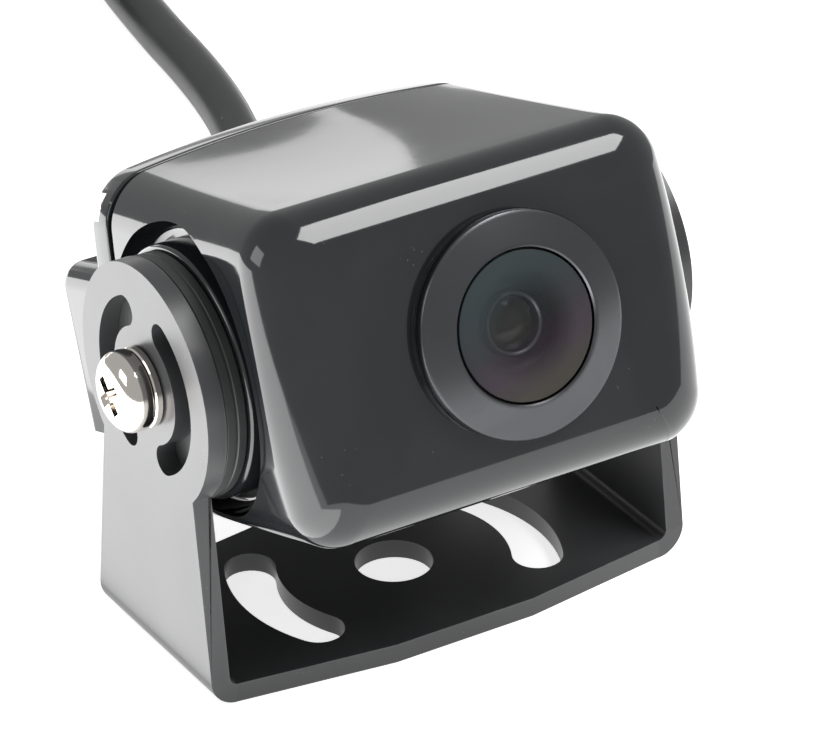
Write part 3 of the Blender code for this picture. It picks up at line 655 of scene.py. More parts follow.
# camera
view = dict(
    location=(-0.233203, -0.390009 + place["bracketY"], 0.282967),
    turn=(60.215042, 0.765999, -31.507861),  # degrees
    lens=239.1,  # mm on a 36 mm sensor
)
deselectAll()
bpy.ops.object.camera_add(location=view["location"], rotation=[math.radians(a) for a in view["turn"]])
camera = bpy.context.active_object
camera.name = "stillCamera"
camera.data.lens = view["lens"]
camera.data.sensor_width = 36
camera.data.clip_start = 0.01
bpy.context.scene.camera = camera

# the lead, its coil and its connector
leadSize = dict(
    diameter=5.5 * mm,
    exitX=8 * mm,
    exitZ=-3.5 * mm,
    bootEndY=48.3 * mm,
    coilJoin=(44.8 * mm, 164.0 * mm),
    leavingAngle=81.8,
    coilRadius=30 * mm,
    coilLow=1.3 * mm,
    tail=36 * mm,
    connectorZ=7.3 * mm,
)
leadRoute = [
    (9.2, 54.4, 7.6), (12.1, 59.6, 5.9), (16.5, 64.6, 4.6), (21.6, 69.6, 3.7), (26.3, 75.2, 3.0),
    (30.0, 81.4, 2.95), (32.6, 88.2, 2.95), (34.6, 95.6, 2.95), (36.2, 104.0, 2.95),
    (37.6, 114.0, 2.95), (39.0, 124.0, 3.3), (40.2, 132.0, 3.8),
]  # fmt: skip


def alongLead(distance, sideways=0.0, height=0.0):
    angle = math.radians(leadSize["leavingAngle"])
    x, y = leadSize["coilJoin"]
    return Vector(
        (
            x + distance * math.cos(angle) + sideways * math.sin(angle),
            y + distance * math.sin(angle) - sideways * math.cos(angle),
            height,
        )
    )


def smoothThrough(points, steps=6):
    # a centripetal curve through the points
    ends = [2 * points[0] - points[1]] + points + [2 * points[-1] - points[-2]]
    dense = []
    for a, b, c, d in zip(ends, ends[1:], ends[2:], ends[3:]):
        knots = [0.0]
        for first, second in ((a, b), (b, c), (c, d)):
            knots.append(knots[-1] + math.sqrt((second - first).length))
        t0, t1, t2, t3 = knots
        for i in range(steps):
            t = t1 + (t2 - t1) * i / steps
            ab = a.lerp(b, (t - t0) / (t1 - t0))
            bc = b.lerp(c, (t - t1) / (t2 - t1))
            cd = c.lerp(d, (t - t2) / (t3 - t2))
            abc = ab.lerp(bc, (t - t0) / (t2 - t0))
            bcd = bc.lerp(cd, (t - t1) / (t3 - t1))
            dense.append(abc.lerp(bcd, (t - t1) / (t2 - t1)))
    return dense + [points[-1]]


def easeBetween(value, low, high):
    share = min(1, max(0, (value - low) / (high - low)))
    return share * share * (3 - 2 * share)


def coilPoints(every=8):
    # two turns: the first on the floor, moving inwards and then up onto itself for the second
    low = leadSize["coilLow"] + leadSize["diameter"] / 2
    step = leadSize["diameter"] * 1.015
    centre = alongLead(0, -leadSize["coilRadius"])
    facing = math.radians(leadSize["leavingAngle"])
    points = []
    for turn in range(0, 721, every):
        inward = easeBetween(turn, 235, 352)
        climb = math.radians(90 * easeBetween(turn, 358, 485))
        radius = leadSize["coilRadius"] - step * inward * math.cos(climb)
        angle = facing - math.pi / 2 + math.radians(turn)
        height = low + step * math.sin(climb)
        points.append(centre + Vector((radius * math.cos(angle), radius * math.sin(angle), height)))
    return points


def leadPoints():
    exits = [
        headPlace @ Vector((leadSize["exitX"], leadSize["bootEndY"] + ahead, leadSize["exitZ"]))
        for ahead in (0.3 * mm, 5 * mm)
    ]
    run = [bracketPlace @ (mm * Vector(point)) for point in leadRoute]
    low = leadSize["coilLow"] + leadSize["diameter"] / 2
    top = low + leadSize["diameter"]
    reach = 18.5 * mm
    run.append(bracketPlace @ alongLead(-reach, 0, low))
    run.append(bracketPlace @ alongLead(-reach / 2, 0, low))
    coil = [bracketPlace @ point for point in coilPoints()]
    plugHeight = leadSize["connectorZ"]
    heights = [(9 * mm, top), (reach, top), (reach + 6 * mm, top - 0.8 * mm)]
    heights += [(reach + 13 * mm, plugHeight + 0.4 * mm), (leadSize["tail"], plugHeight)]
    tail = [bracketPlace @ alongLead(distance, 0, height) for distance, height in heights]
    return smoothThrough(exits + run + coil + tail, 4)


def pathLength(points):
    return sum((b - a).length for a, b in zip(points, points[1:]))


def buildLead():
    points = leadPoints()
    deselectAll()
    bpy.ops.curve.primitive_nurbs_path_add()
    lead = bpy.context.active_object
    lead.name = "cameraLead"
    lead.data.splines.clear()
    spline = lead.data.splines.new("POLY")
    spline.points.add(len(points) - 1)
    for held, point in zip(spline.points, points):
        held.co = (*point, 1)
    lead.location = (0, 0, 0)
    lead.data.bevel_depth = leadSize["diameter"] / 2
    lead.data.bevel_resolution = 6
    lead.data.use_fill_caps = True
    only(lead)
    bpy.ops.object.convert(target="MESH")
    lead = fixNormals(bpy.context.active_object)
    bpy.ops.object.shade_smooth_by_angle(angle=math.radians(50))
    lead.data.materials.clear()
    lead.data.materials.append(finish["jacket"])
    return lead, points


lead, leadPath = buildLead()
print("lead length", round(pathLength(leadPath), 4))

# the folded bracket
bracketSize = dict(
    halfWidth=27 * mm, plate=2 * mm, bend=3 * mm, halfDepth=13.3 * mm, kinkX=7.8 * mm, footHalfDepth=11 * mm,
    taper=0.127, pivot=30.4 * mm, ear=12.1 * mm, hole=3.9 * mm, pivotHole=2.6 * mm,
    slotRadius=14.25 * mm, slotWidth=5.1 * mm, slotHalf=28,
    earSlotRadius=7.35 * mm, earSlotWidth=3.0 * mm, earSlotHalf=63, edge=0.38 * mm,
)  # fmt: skip


def buildBracket(size):
    deselectAll()
    flat = size["halfWidth"] - size["bend"]
    bpy.ops.mesh.primitive_plane_add(size=1, scale=(1, 1, 1))
    bracket = named("foldedBracket")
    bracket.scale = (2 * flat, 2 * size["footHalfDepth"], 1)
    settle(bracket)
    for side in (-1, 1):
        edit("VERT")
        bpy.ops.mesh.select_all(action="SELECT")
        bpy.ops.mesh.bisect(plane_co=(side * size["kinkX"], 0, 0), plane_no=(1, 0, 0))
        objectMode()
    wider = size["halfDepth"] - size["footHalfDepth"]
    for side in (-1, 1):
        pick(bracket, "VERT", lambda co: abs(co.x) < size["kinkX"] + mm and co.y * side > 0)
        bpy.ops.transform.translate(value=(0, side * wider, 0))
    edit("FACE")
    bpy.ops.mesh.select_all(action="SELECT")
    bpy.ops.mesh.extrude_region_move(TRANSFORM_OT_translate={"value": (0, 0, size["plate"])})
    fixNormals(bracket)
    armTop = size["pivot"] - 5 * mm
    shrink = 1 - size["taper"] * (armTop - size["bend"]) / size["footHalfDepth"]
    for side in (-1, 1):
        # the sheet's end face is spun up through the fold, then drawn out as the arm
        pick(bracket, "FACE", lambda centre, normal: normal.x * side > 0.9 and centre.x * side > flat - mm)
        bpy.ops.mesh.spin(
            steps=10, angle=side * math.pi / 2, center=(side * flat, 0, size["bend"]), axis=(0, 1, 0)
        )
        bpy.ops.mesh.extrude_region_move(TRANSFORM_OT_translate={"value": (0, 0, armTop - size["bend"])})
        bpy.ops.transform.resize(value=(1, shrink, 1), center_override=(0, 0, armTop))
    fixNormals(bracket)
    for side in (-1, 1):
        inner, outer = size["halfWidth"] - size["plate"], size["halfWidth"]
        low, high = sorted((side * inner, side * outer))
        ear = rod("ear", size["ear"], low, high, "X", (0, size["pivot"]), 128)
        combine(bracket, ear, "UNION")
    combine(bracket, rod("hole", size["hole"], -mm, 4 * mm, sides=96))
    reach = size["halfWidth"] + mm
    for middle in (0, 180):
        slot = slotOutline((0, 0), size["slotRadius"], size["slotWidth"], middle, size["slotHalf"])
        combine(bracket, drawnOutline("slot", slot, "Z", -mm, 4 * mm))
        slot = slotOutline(
            (0, size["pivot"]), size["earSlotRadius"], size["earSlotWidth"], middle, size["earSlotHalf"]
        )
        combine(bracket, drawnOutline("slot", slot, "X", -reach, reach))
    combine(bracket, rod("hole", size["pivotHole"], -reach, reach, "X", (0, size["pivot"]), 64))
    fixNormals(bracket, 1e-5)
    roundEdges(bracket, size["edge"], 3, 40)
    smooth(bracket, 40)
    return settle(bracket, bracketPlace)


bracket = finishPiece(buildBracket(bracketSize), "bracketPaint", "bracket_paint", "bracket", "bracket")
print("bracket ready")

# the camera head
shell = dict(
    faceY=-20.2 * mm, rearY=11.7 * mm, frontHalf=22.0 * mm, rearHalf=21.2 * mm, bottom=-16.6 * mm,
    frontTop=15.7 * mm, rearTop=16.9 * mm, crown=1.5 * mm, corner=4.2 * mm, fillet=4.7 * mm, bulge=1.2 * mm,
)  # fmt: skip
boss = dict(radius=12.5 * mm, endX=22.6 * mm, coveFloor=19.0 * mm, coveRadius=14.6 * mm, thread=2.3 * mm)


def sectionOutline(halfWidth, bottom, top, corner, bulge, crown, alongSide=12, alongTop=24, atCorner=16):
    # a rounded rectangle whose sides bow out and whose top is arched
    points = []
    middle, halfHeight = (bottom + top) / 2, (top - bottom) / 2

    def side(x, low, high, count):
        return [(x, low + (high - low) * i / count) for i in range(1, count)]

    def level(z, low, high, count):
        return [(low + (high - low) * i / count, z) for i in range(1, count)]

    points += arc((halfWidth - corner, bottom + corner), corner, 270, 360, atCorner)
    points += side(halfWidth, bottom + corner, top - corner, alongSide)
    points += arc((halfWidth - corner, top - corner), corner, 0, 90, atCorner)
    points += level(top, halfWidth - corner, corner - halfWidth, alongTop)
    points += arc((corner - halfWidth, top - corner), corner, 90, 180, atCorner)
    points += side(-halfWidth, top - corner, bottom + corner, alongSide)
    points += arc((corner - halfWidth, bottom + corner), corner, 180, 270, atCorner)
    points += level(bottom, corner - halfWidth, halfWidth - corner, alongTop)
    shaped = []
    for x, z in points:
        bow = bulge * (1 - ((z - middle) / halfHeight) ** 2) * x / halfWidth
        arch = crown * (1 - (x / halfWidth) ** 2) * max(0, (z - middle) / halfHeight)
        shaped.append((x + bow, z + arch))
    return shaped


def shellOutline(y, inset=0.0, **counts):
    share = (y - shell["faceY"]) / (shell["rearY"] - shell["faceY"])
    halfWidth = shell["frontHalf"] + (shell["rearHalf"] - shell["frontHalf"]) * share
    top = shell["frontTop"] + (shell["rearTop"] - shell["frontTop"]) * share
    corner = shell["corner"] - 0.5 * inset
    crown = shell["crown"] * share**2
    return sectionOutline(
        halfWidth - inset, shell["bottom"] + inset, top - inset, corner, shell["bulge"], crown, **counts
    )


def lofted(name, stations):
    # a circle primitive is set to the first section, then extruded station by station and set to each section
    y, outline = stations[0]
    deselectAll()
    bpy.ops.mesh.primitive_circle_add(vertices=len(outline), radius=0.01)
    piece = named(name)
    for vertex, (x, z) in zip(piece.data.vertices, outline):
        vertex.co = (x, y, z)
    edit("EDGE")
    bpy.ops.mesh.select_all(action="SELECT")
    bpy.ops.mesh.edge_face_add()
    for nextY, nextOutline in stations[1:]:
        edit("FACE")
        bpy.ops.mesh.extrude_region_move(TRANSFORM_OT_translate={"value": (0, nextY - y, 0)})
        objectMode()
        ring = [vertex for vertex in piece.data.vertices if vertex.select]
        ring.sort(key=lambda vertex: vertex.index)
        for vertex, (x, z) in zip(ring, nextOutline):
            vertex.co = (x, nextY, z)
        y = nextY
    return fixNormals(piece)


def filletStations(outline, faceY, fillet, rearY, straight, steps=9):
    stations = []
    for i in range(steps + 1):
        angle = math.radians(90 * i / steps)
        inset = fillet * (1 - math.sin(angle))
        stations.append((faceY + fillet * (1 - math.cos(angle)), inset))
    start, length = faceY + fillet, rearY - faceY - fillet
    stations += [(start + length * i / straight, 0.0) for i in range(1, straight + 1)]
    return [(y, outline(y, inset)) for y, inset in stations]


def buildHousing():
    housing = lofted(
        "diecastHousing", filletStations(shellOutline, shell["faceY"], shell["fillet"], shell["rearY"], 12)
    )
    cavity = sectionOutline(17.2 * mm, -13.8 * mm, 13.4 * mm, 2 * mm, 0, 0, 1, 1, 4)
    combine(housing, drawnOutline("cavity", cavity, "Y", -17.4 * mm, shell["rearY"] + mm))
    for side in (-1, 1):
        inner, floor = boss["radius"] + 0.4 * mm, boss["coveFloor"]
        cove = [(boss["radius"] - 2 * mm, side * floor), (inner, side * floor)]
        rise = boss["endX"] - floor
        for i in range(1, 11):
            angle = math.radians(90 * i / 10)
            across = (boss["coveRadius"] - boss["radius"] - 0.4 * mm) * math.sin(angle)
            cove.append((inner + across, side * (floor + rise * (1 - math.cos(angle)))))
        cove += [(boss["coveRadius"], side * 26 * mm), (boss["radius"] - 2 * mm, side * 26 * mm)]
        cutter = turned("cove", cove, 128)
        cutter.rotation_euler = (0, math.pi / 2, 0)
        combine(housing, settle(cutter))
        low, high = sorted((side * 17.4 * mm, side * boss["endX"]))
        pad = rod("boss", boss["radius"], low, high, "X", sides=128)
        roundEdges(pad, 0.4 * mm, 3)
        combine(housing, pad, "UNION")
    face, axis = lens["faceY"], (lens["x"], 0)
    radius, front = lens["turretRadius"] + 0.05 * mm, face - lens["turretHeight"]
    turret = rod("turret", radius, front, face + mm, "Y", axis, 128)
    combine(housing, turret, "UNION")
    combine(housing, rod("bore", lens["bore"], face - 2 * mm, -16 * mm, "Y", axis, 128))
    for side in (-1, 1):
        low, high = sorted((side * 18.2 * mm, side * 26 * mm))
        combine(housing, rod("thread", boss["thread"], low, high, "X", sides=48))
    fixNormals(housing, 2e-6)
    smooth(housing, 32)
    return settle(housing, headPlace)


housing = finishPiece(buildHousing(), "headPaint", "head_paint", "camera_head", "front_housing")
print("housing ready")


def fromAxis(piece, centreX):
    # turned pieces are made about Z: their height becomes the depth behind the lens
    piece.rotation_euler = (-math.pi / 2, 0, 0)
    settle(piece)
    piece.location = (centreX, 0, 0)
    settle(piece)
    return piece


def buildBezel():
    seat = lens["faceY"] - lens["turretHeight"] - 0.02 * mm
    outer, opening, lip, edge = lens["turretRadius"], lens["opening"], lens["lipY"], lens["edgeY"]
    profile = [
        (lens["bore"] + 1.2 * mm, seat),
        (outer - 0.25 * mm, seat),
        (outer, seat - 0.25 * mm),
        (outer, edge + 0.3 * mm),
        (outer - 0.12 * mm, edge + 0.08 * mm),
        (outer - 0.4 * mm, edge - 0.06 * mm),
        (opening + 0.5 * mm, lip + 0.06 * mm),
        (opening + 0.15 * mm, lip + 0.04 * mm),
        (opening, lip + 0.2 * mm),
        (opening, lip + 0.8 * mm),
        (lens["bore"] + 1.2 * mm, lip + 1.1 * mm),
    ]
    ring = fromAxis(turned("lensRing", profile, 160), lens["x"])
    fixNormals(ring)
    smooth(ring, 30)
    return settle(ring, headPlace)


def buildFrontGlass():
    # a shallow dome with a rounded rim, seated just inside the ring
    front = lens["lipY"] + 0.25 * mm
    radius = lens["opening"] - 0.25 * mm
    steps = 14
    profile = [(0.05 * mm, front - lens["dome"])]
    for i in range(1, steps + 1):
        share = i / steps
        profile.append((radius * share, front - lens["dome"] * (1 - share**2)))
    profile += [(radius, front + 1.6 * mm), (radius - 0.6 * mm, front + 1.9 * mm)]
    for i in range(5, 0, -1):
        share = i / 5.5
        profile.append((radius * share, front + 1.9 * mm - 0.8 * mm * (1 - share**2)))
    glass = fromAxis(turned("frontGlass", profile, 128, closed=False), lens["x"])
    fixNormals(glass)
    smooth(glass, 40, weighted=False)
    return settle(glass, headPlace)


def buildRetainer():
    # stepped rings behind the front glass, round the small inner lens
    y = -20.2 * mm
    profile = [
        (2.6 * mm, y + 0.6 * mm), (2.7 * mm, y + 0.15 * mm), (2.85 * mm, y),
        (3.0 * mm, y), (3.2 * mm, y + 0.15 * mm), (3.3 * mm, y + 1.0 * mm),
        (4.9 * mm, y + 1.2 * mm), (5.0 * mm, y + 1.7 * mm), (2.6 * mm, y + 1.8 * mm),
    ]  # fmt: skip
    ring = fromAxis(turned("lensRetainer", profile, 96), lens["x"])
    fixNormals(ring)
    smooth(ring, 30)
    return settle(ring, headPlace)


def buildInnerLens():
    y, radius, steps = -19.3 * mm, 2.5 * mm, 10
    profile = [(0.03 * mm, y - 0.7 * mm)]
    profile += [(radius * i / steps, y - 0.7 * mm * (1 - (i / steps) ** 2)) for i in range(1, steps + 1)]
    profile += [(radius, y + 1.2 * mm), (radius * 0.9, y + 1.4 * mm)]
    glass = fromAxis(turned("innerLens", profile, 64, closed=False), lens["x"])
    fixNormals(glass)
    smooth(glass, 40, weighted=False)
    return settle(glass, headPlace)


finishPiece(buildBezel(), "anodised", "anodised_ring", "camera_head", "lens_bezel")
finishPiece(buildFrontGlass(), "frontGlass", "coated_glass", "camera_head", "front_element")
finishPiece(buildRetainer(), "lensRing", "anodised_ring", "camera_head", "lens_retainer")
finishPiece(buildInnerLens(), "innerGlass", "coated_glass", "camera_head", "middle_element")
print("lens ready")

# rear cover, its screws and the strain relief
cover = dict(
    y=shell["rearY"] + 1.1 * mm, rim=3.7 * mm, blockRear=34 * mm, blockHalf=18.5 * mm, blockTop=6.5 * mm,
    blockBottom=-13.5 * mm, wall=2 * mm, screwX=18.9 * mm, screwZ=13.4 * mm, screwHead=2.2 * mm,
    rimRound=0.9 * mm, blockRound=1.8 * mm,
)  # fmt: skip
screwPlaces = [(across * cover["screwX"], up * cover["screwZ"]) for across in (-1, 1) for up in (-1, 1)]


def buildCover():
    y, rim = cover["y"], cover["rim"]

    def outline(inset):
        return shellOutline(shell["rearY"], inset)

    stations = [(y, outline(0.35 * mm)), (y + 0.12 * mm, outline(0.12 * mm)), (y + 0.35 * mm, outline(0.0))]
    stations += [(y + rim - cover["rimRound"], outline(0.0))]
    rimRound = cover["rimRound"]
    for i in range(1, 6):
        angle = math.radians(90 * i / 5)
        inset = rimRound * (1 - math.cos(angle))
        stations.append((y + rim - rimRound * (1 - math.sin(angle)), outline(inset)))
    rear = lofted("rearCover", stations)
    back, blockRound = cover["blockRear"], cover["blockRound"]
    rings = [(y + mm, 0.0), (back - blockRound, 0.0)]
    for i in range(1, 8):
        angle = math.radians(90 * i / 7)
        rings.append((back - blockRound * (1 - math.sin(angle)), blockRound * (1 - math.cos(angle))))
    stations = []
    for ringY, inset in rings:
        stations.append(
            (
                ringY,
                sectionOutline(
                    cover["blockHalf"] - inset, cover["blockBottom"] + inset, cover["blockTop"] - inset,
                    2.4 * mm - 0.3 * inset, 0, 0, 6, 12, 8,
                ),
            )
        )  # fmt: skip
    combine(rear, lofted("block", stations), "UNION")
    wall = cover["wall"]
    combine(
        rear,
        block(
            "hollow",
            (-14.5 * mm, y - mm, cover["blockBottom"] + wall),
            (14.5 * mm, back - wall, cover["blockTop"] - wall),
        ),
    )
    room = cover["screwHead"] + 0.5 * mm
    for spot in screwPlaces:
        combine(rear, rod("recess", room, y + 1.8 * mm, back + mm, "Y", spot, 64))
        combine(rear, rod("through", 1.5 * mm, y - mm, y + 3 * mm, "Y", spot, 32))
    exitSpot = (leadSize["exitX"], leadSize["exitZ"])
    combine(rear, rod("spout", 4.2 * mm, back - 5 * mm, back + mm, "Y", exitSpot, 64))
    fixNormals(rear, 2e-6)
    smooth(rear, 32)
    return settle(rear, headPlace)


def crossCutter(longSide, shortSide, depth, top):
    # a cross recess: two tapered bars joined
    bars = []
    for sx, sy in ((longSide, shortSide), (shortSide, longSide)):
        bar = block("bar", (-sx, -sy, depth), (sx, sy, top))
        pick(bar, "FACE", lambda centre, normal: normal.z < -0.9)
        narrowed = (0.55 if sx > sy else 1, 0.55 if sy > sx else 1, 1)
        bpy.ops.transform.resize(value=narrowed, center_override=(0, 0, depth))
        objectMode()
        bars.append(bar)
    return combine(bars[0], bars[1], "UNION")


def buildScrew(name, shaft, tip, seat, headRadius, headHeight, cross, turns=72):
    # a pan-head screw along +Z, its head at the top
    profile = [(shaft - 0.3 * mm, tip), (shaft, tip + 0.3 * mm), (shaft, seat)]
    profile += [(headRadius - 0.15 * mm, seat), (headRadius, seat + 0.15 * mm)]
    side = 0.42 * headHeight
    profile.append((headRadius, seat + side))
    for i in range(1, 9):
        angle = math.radians(90 * i / 8)
        radius = headRadius * (0.42 + 0.58 * math.cos(angle) ** 0.9)
        profile.append((radius, seat + side + (headHeight - side) * math.sin(angle) ** 1.1))
    screw = turned(name, profile, turns, closed=False)
    cutter = crossCutter(cross, cross * 0.21, seat + 0.55 * headHeight - 0.5 * mm, seat + headHeight + 2 * mm)
    combine(screw, cutter)
    fixNormals(screw, 1e-6)
    roundEdges(screw, 0.07 * mm, 2, 45)
    smooth(screw, 35)
    return screw


pivotScrew = dict(
    shaft=2.0 * mm, tip=18.6 * mm, head=4.0 * mm, headHeight=2.8 * mm, cross=2.6 * mm, turned=24,
)  # fmt: skip


def buildPivotScrews():
    size = pivotScrew
    seat = 27 * mm + 0.3 * mm + 0.7 * mm + 0.05 * mm
    for side, name in ((-1, "left"), (1, "right")):
        head, headHeight, cross = size["head"], size["headHeight"], size["cross"]
        screw = buildScrew(
            f"pivotScrew_{name}", size["shaft"], size["tip"], seat, head, headHeight, cross, 96
        )
        screw.rotation_euler = (0, side * math.pi / 2, 0)
        settle(screw)
        screw.rotation_euler = (math.radians(size["turned"] * side), 0, 0)
        settle(screw)
        settle(screw, headPlace)
        finishPiece(screw, "nickel", "nickel_steel", f"{name}_pivot_screw", f"pivot_screw_{name}")
        profile = inMm(
            (2.7, 27.05), (3.8, 27.05), (3.95, 27.2), (3.95, 27.75), (3.8, 27.9), (2.8, 27.9), (2.7, 27.8)
        )  # fmt: skip
        washer = turned(f"lockWasher_{name}", profile, 64)
        split = block("split", (2 * mm, -0.35 * mm, 26.5 * mm), (6 * mm, 0.35 * mm, 28.5 * mm))
        split.rotation_euler = (math.radians(28), 0, 0)
        combine(washer, settle(split))
        fixNormals(washer)
        washer.rotation_euler = (0, side * math.pi / 2, 0)
        settle(washer)
        smooth(washer, 35)
        settle(washer, headPlace)
        finishPiece(washer, "nickel", "nickel_steel", f"{name}_pivot_screw", f"lock_washer_{name}")


def buildPads():
    for side, name in ((-1, "left"), (1, "right")):
        low, high = boss["endX"] + 0.05 * mm, 25 * mm - 0.05 * mm
        profile = [
            (2.7 * mm, low), (11.8 * mm, low), (12.0 * mm, low + 0.2 * mm), (12.0 * mm, low + 0.95 * mm),
            (11.9 * mm, low + 1.05 * mm), (11.9 * mm, low + 1.2 * mm), (12.0 * mm, low + 1.3 * mm),
            (12.0 * mm, high - 0.2 * mm), (11.8 * mm, high), (2.7 * mm, high),
        ]  # fmt: skip
        pad = turned(f"frictionPad_{name}", profile, 128)
        pad.rotation_euler = (0, side * math.pi / 2, 0)
        settle(pad)
        fixNormals(pad)
        smooth(pad, 35)
        settle(pad, headPlace)
        finishPiece(pad, "pad", "black_rubber", "camera_head", f"friction_pad_{name}")


def buildCoverScrews():
    seat = cover["y"] + 1.85 * mm
    tip = shell["rearY"] - 6 * mm
    master = buildScrew("coverScrewMaster", mm, tip, seat, cover["screwHead"], 1.75 * mm, 1.25 * mm, 48)
    master.rotation_euler = (-math.pi / 2, 0, 0)
    settle(master)
    for number, (x, z) in enumerate(screwPlaces, 1):
        screw = master.copy()
        screw.data = master.data.copy()
        screw.name = f"coverScrew_{number}"
        bpy.context.collection.objects.link(screw)
        only(screw)
        screw.rotation_euler = (0, math.radians(31 * number), 0)
        settle(screw)
        screw.location = (x, 0, z)
        settle(screw)
        settle(screw, headPlace)
        finishPiece(screw, "nickel", "nickel_steel", "camera_head", f"cover_screw_{number}")
    bpy.data.objects.remove(master)


def buildBoot():
    # a grooved strain relief: a flange against the cover and ribs that get smaller
    rear, bore = cover["blockRear"], leadSize["diameter"] / 2 + 0.06 * mm
    end = leadSize["bootEndY"]
    profile = [
        (bore, rear - 3.5 * mm), (5.6 * mm, rear - 3.5 * mm), (5.6 * mm, rear - 2.05 * mm),
        (4.1 * mm, rear - 2.05 * mm), (4.1 * mm, rear + 0.05 * mm), (5.8 * mm, rear + 0.05 * mm),
        (6.0 * mm, rear + 0.3 * mm), (6.0 * mm, rear + 1.9 * mm), (5.7 * mm, rear + 2.2 * mm),
    ]  # fmt: skip
    ribs, start = 6, rear + 2.6 * mm
    pitch = (end - 1.2 * mm - start) / ribs
    for i in range(ribs):
        y = start + i * pitch
        radius = 4.95 * mm - 0.17 * mm * i
        groove = radius - 0.75 * mm
        profile += [(groove, y), (groove, y + 0.3 * pitch), (radius - 0.12 * mm, y + 0.36 * pitch)]
        profile += [(radius, y + 0.44 * pitch), (radius, y + 0.86 * pitch)]
        profile.append((radius - 0.12 * mm, y + 0.94 * pitch))
    profile += [(3.75 * mm, end - 0.5 * mm), (3.5 * mm, end), (bore, end)]
    boot = turned("strainRelief", profile, 72)
    boot.rotation_euler = (-math.pi / 2, 0, 0)
    settle(boot)
    boot.location = (leadSize["exitX"], 0, leadSize["exitZ"])
    settle(boot)
    fixNormals(boot)
    smooth(boot, 35)
    return settle(boot, headPlace)


finishPiece(buildCover(), "headPaint", "head_paint", "camera_head", "rear_cover")
buildPivotScrews()
buildPads()
buildCoverScrews()
boot = finishPiece(buildBoot(), "rubber", "black_rubber", "camera_head", "lead_boot")
print("cover, screws and pads ready")

# the connector on the lead's end
plugSize = dict(pinCircle=2.3 * mm, pinRadius=0.55 * mm, sleeveRibs=5, gripDepth=0.16 * mm)
plugStart = alongLead(leadSize["tail"] + 0.3 * mm, 0, leadSize["connectorZ"])
plugPlace = bracketPlace @ Matrix.Translation(plugStart)
plugPlace = plugPlace @ Matrix.Rotation(math.radians(leadSize["leavingAngle"] - 90), 4, "Z")


def placeOnLead(piece):
    piece.rotation_euler = (-math.pi / 2, 0, 0)
    settle(piece)
    return settle(piece, plugPlace)


def buildSleeve():
    bore = leadSize["diameter"] / 2 + 0.05 * mm
    profile = [(bore, 0), (3.7 * mm, 0), (4.0 * mm, 0.3 * mm)]
    for i in range(plugSize["sleeveRibs"]):
        z = (0.8 + 1.5 * i) * mm
        radius = (4.1 + 0.18 * i) * mm
        groove = radius - 0.5 * mm
        profile += [(radius, z), (radius, z + 0.9 * mm), (groove, z + 1.05 * mm), (groove, z + 1.35 * mm)]
    profile += [(5.0 * mm, 8.3 * mm), (5.0 * mm, 9.1 * mm), (bore, 9.1 * mm)]
    sleeve = turned("connectorSleeve", profile, 56)
    smooth(sleeve, 35)
    return placeOnLead(sleeve)


def buildConnectorBody():
    profile = inMm(
        (0.4, 9.3), (5.8, 9.3), (6.0, 9.5), (6.0, 11.8), (5.8, 12.0),
        (5.5, 12.4), (5.4, 12.6), (5.4, 25.6), (5.2, 25.9), (5.2, 28.8),
        (5.05, 29.0), (4.75, 29.0), (4.7, 28.9), (4.7, 16.0), (0.4, 16.0),
    )  # fmt: skip
    body = turned("connectorBody", profile, 72, closed=False)
    smooth(body, 30)
    return placeOnLead(body)


def buildCollar():
    # a nut whose grip is knurled: narrow facets are cut along it
    profile = inMm(
        (5.7, 13.0), (6.6, 13.0), (7.0, 13.4), (7.0, 14.6), (6.65, 14.8), (6.65, 15.3), (7.0, 15.5),
        (7.0, 24.0), (6.65, 24.2), (6.65, 24.6), (6.6, 25.0), (5.9, 25.0), (5.7, 24.8),
    )  # fmt: skip
    collar = turned("connectorNut", profile, 144)

    def onGrip(centre, normal):
        if normal.z**2 > 0.1 or centre.xy.length < 6.8 * mm or not 15.5 * mm < centre.z < 24 * mm:
            return False
        facet = math.degrees(math.atan2(centre.y, centre.x)) / 2.5 - 0.5
        return int(round(facet)) % 3 == 0

    pick(collar, "FACE", onGrip)
    bpy.ops.mesh.inset(thickness=0.06 * mm, depth=-plugSize["gripDepth"], use_individual=True)
    objectMode()
    smooth(collar, 25)
    return placeOnLead(collar)


def buildInsert():
    insert = rod("connectorInsert", 4.4 * mm, 16.3 * mm, 21 * mm, sides=64)
    roundEdges(insert, 0.2 * mm, 2)
    combine(insert, rod("key", 0.7 * mm, 15 * mm, 22 * mm, centre=(4.5 * mm, 0), sides=24))
    for number in range(4):
        angle = math.radians(90 * number + 45)
        where = (plugSize["pinCircle"] * math.cos(angle), plugSize["pinCircle"] * math.sin(angle))
        combine(insert, rod("socket", 0.9 * mm, 15 * mm, 22 * mm, centre=where, sides=24))
    smooth(insert, 35)
    return placeOnLead(insert)


def buildPins():
    pins, thick, circle = [], plugSize["pinRadius"], plugSize["pinCircle"]
    for number in range(1, 5):
        profile = [(0.05 * mm, 16.4 * mm), (thick, 16.4 * mm), (thick, 26.2 * mm)]
        profile += inMm((0.5, 26.6), (0.36, 26.9), (0.15, 27.0))
        pin = turned(f"connectorPin_{number}", profile, 24, closed=False)
        angle = math.radians(90 * number - 45)
        pin.location = (circle * math.cos(angle), -circle * math.sin(angle), 0)
        settle(pin)
        smooth(pin, 35)
        pins.append(finishPiece(placeOnLead(pin), "brass", "brass", "bracket", f"connector_pin_{number}"))
    return pins


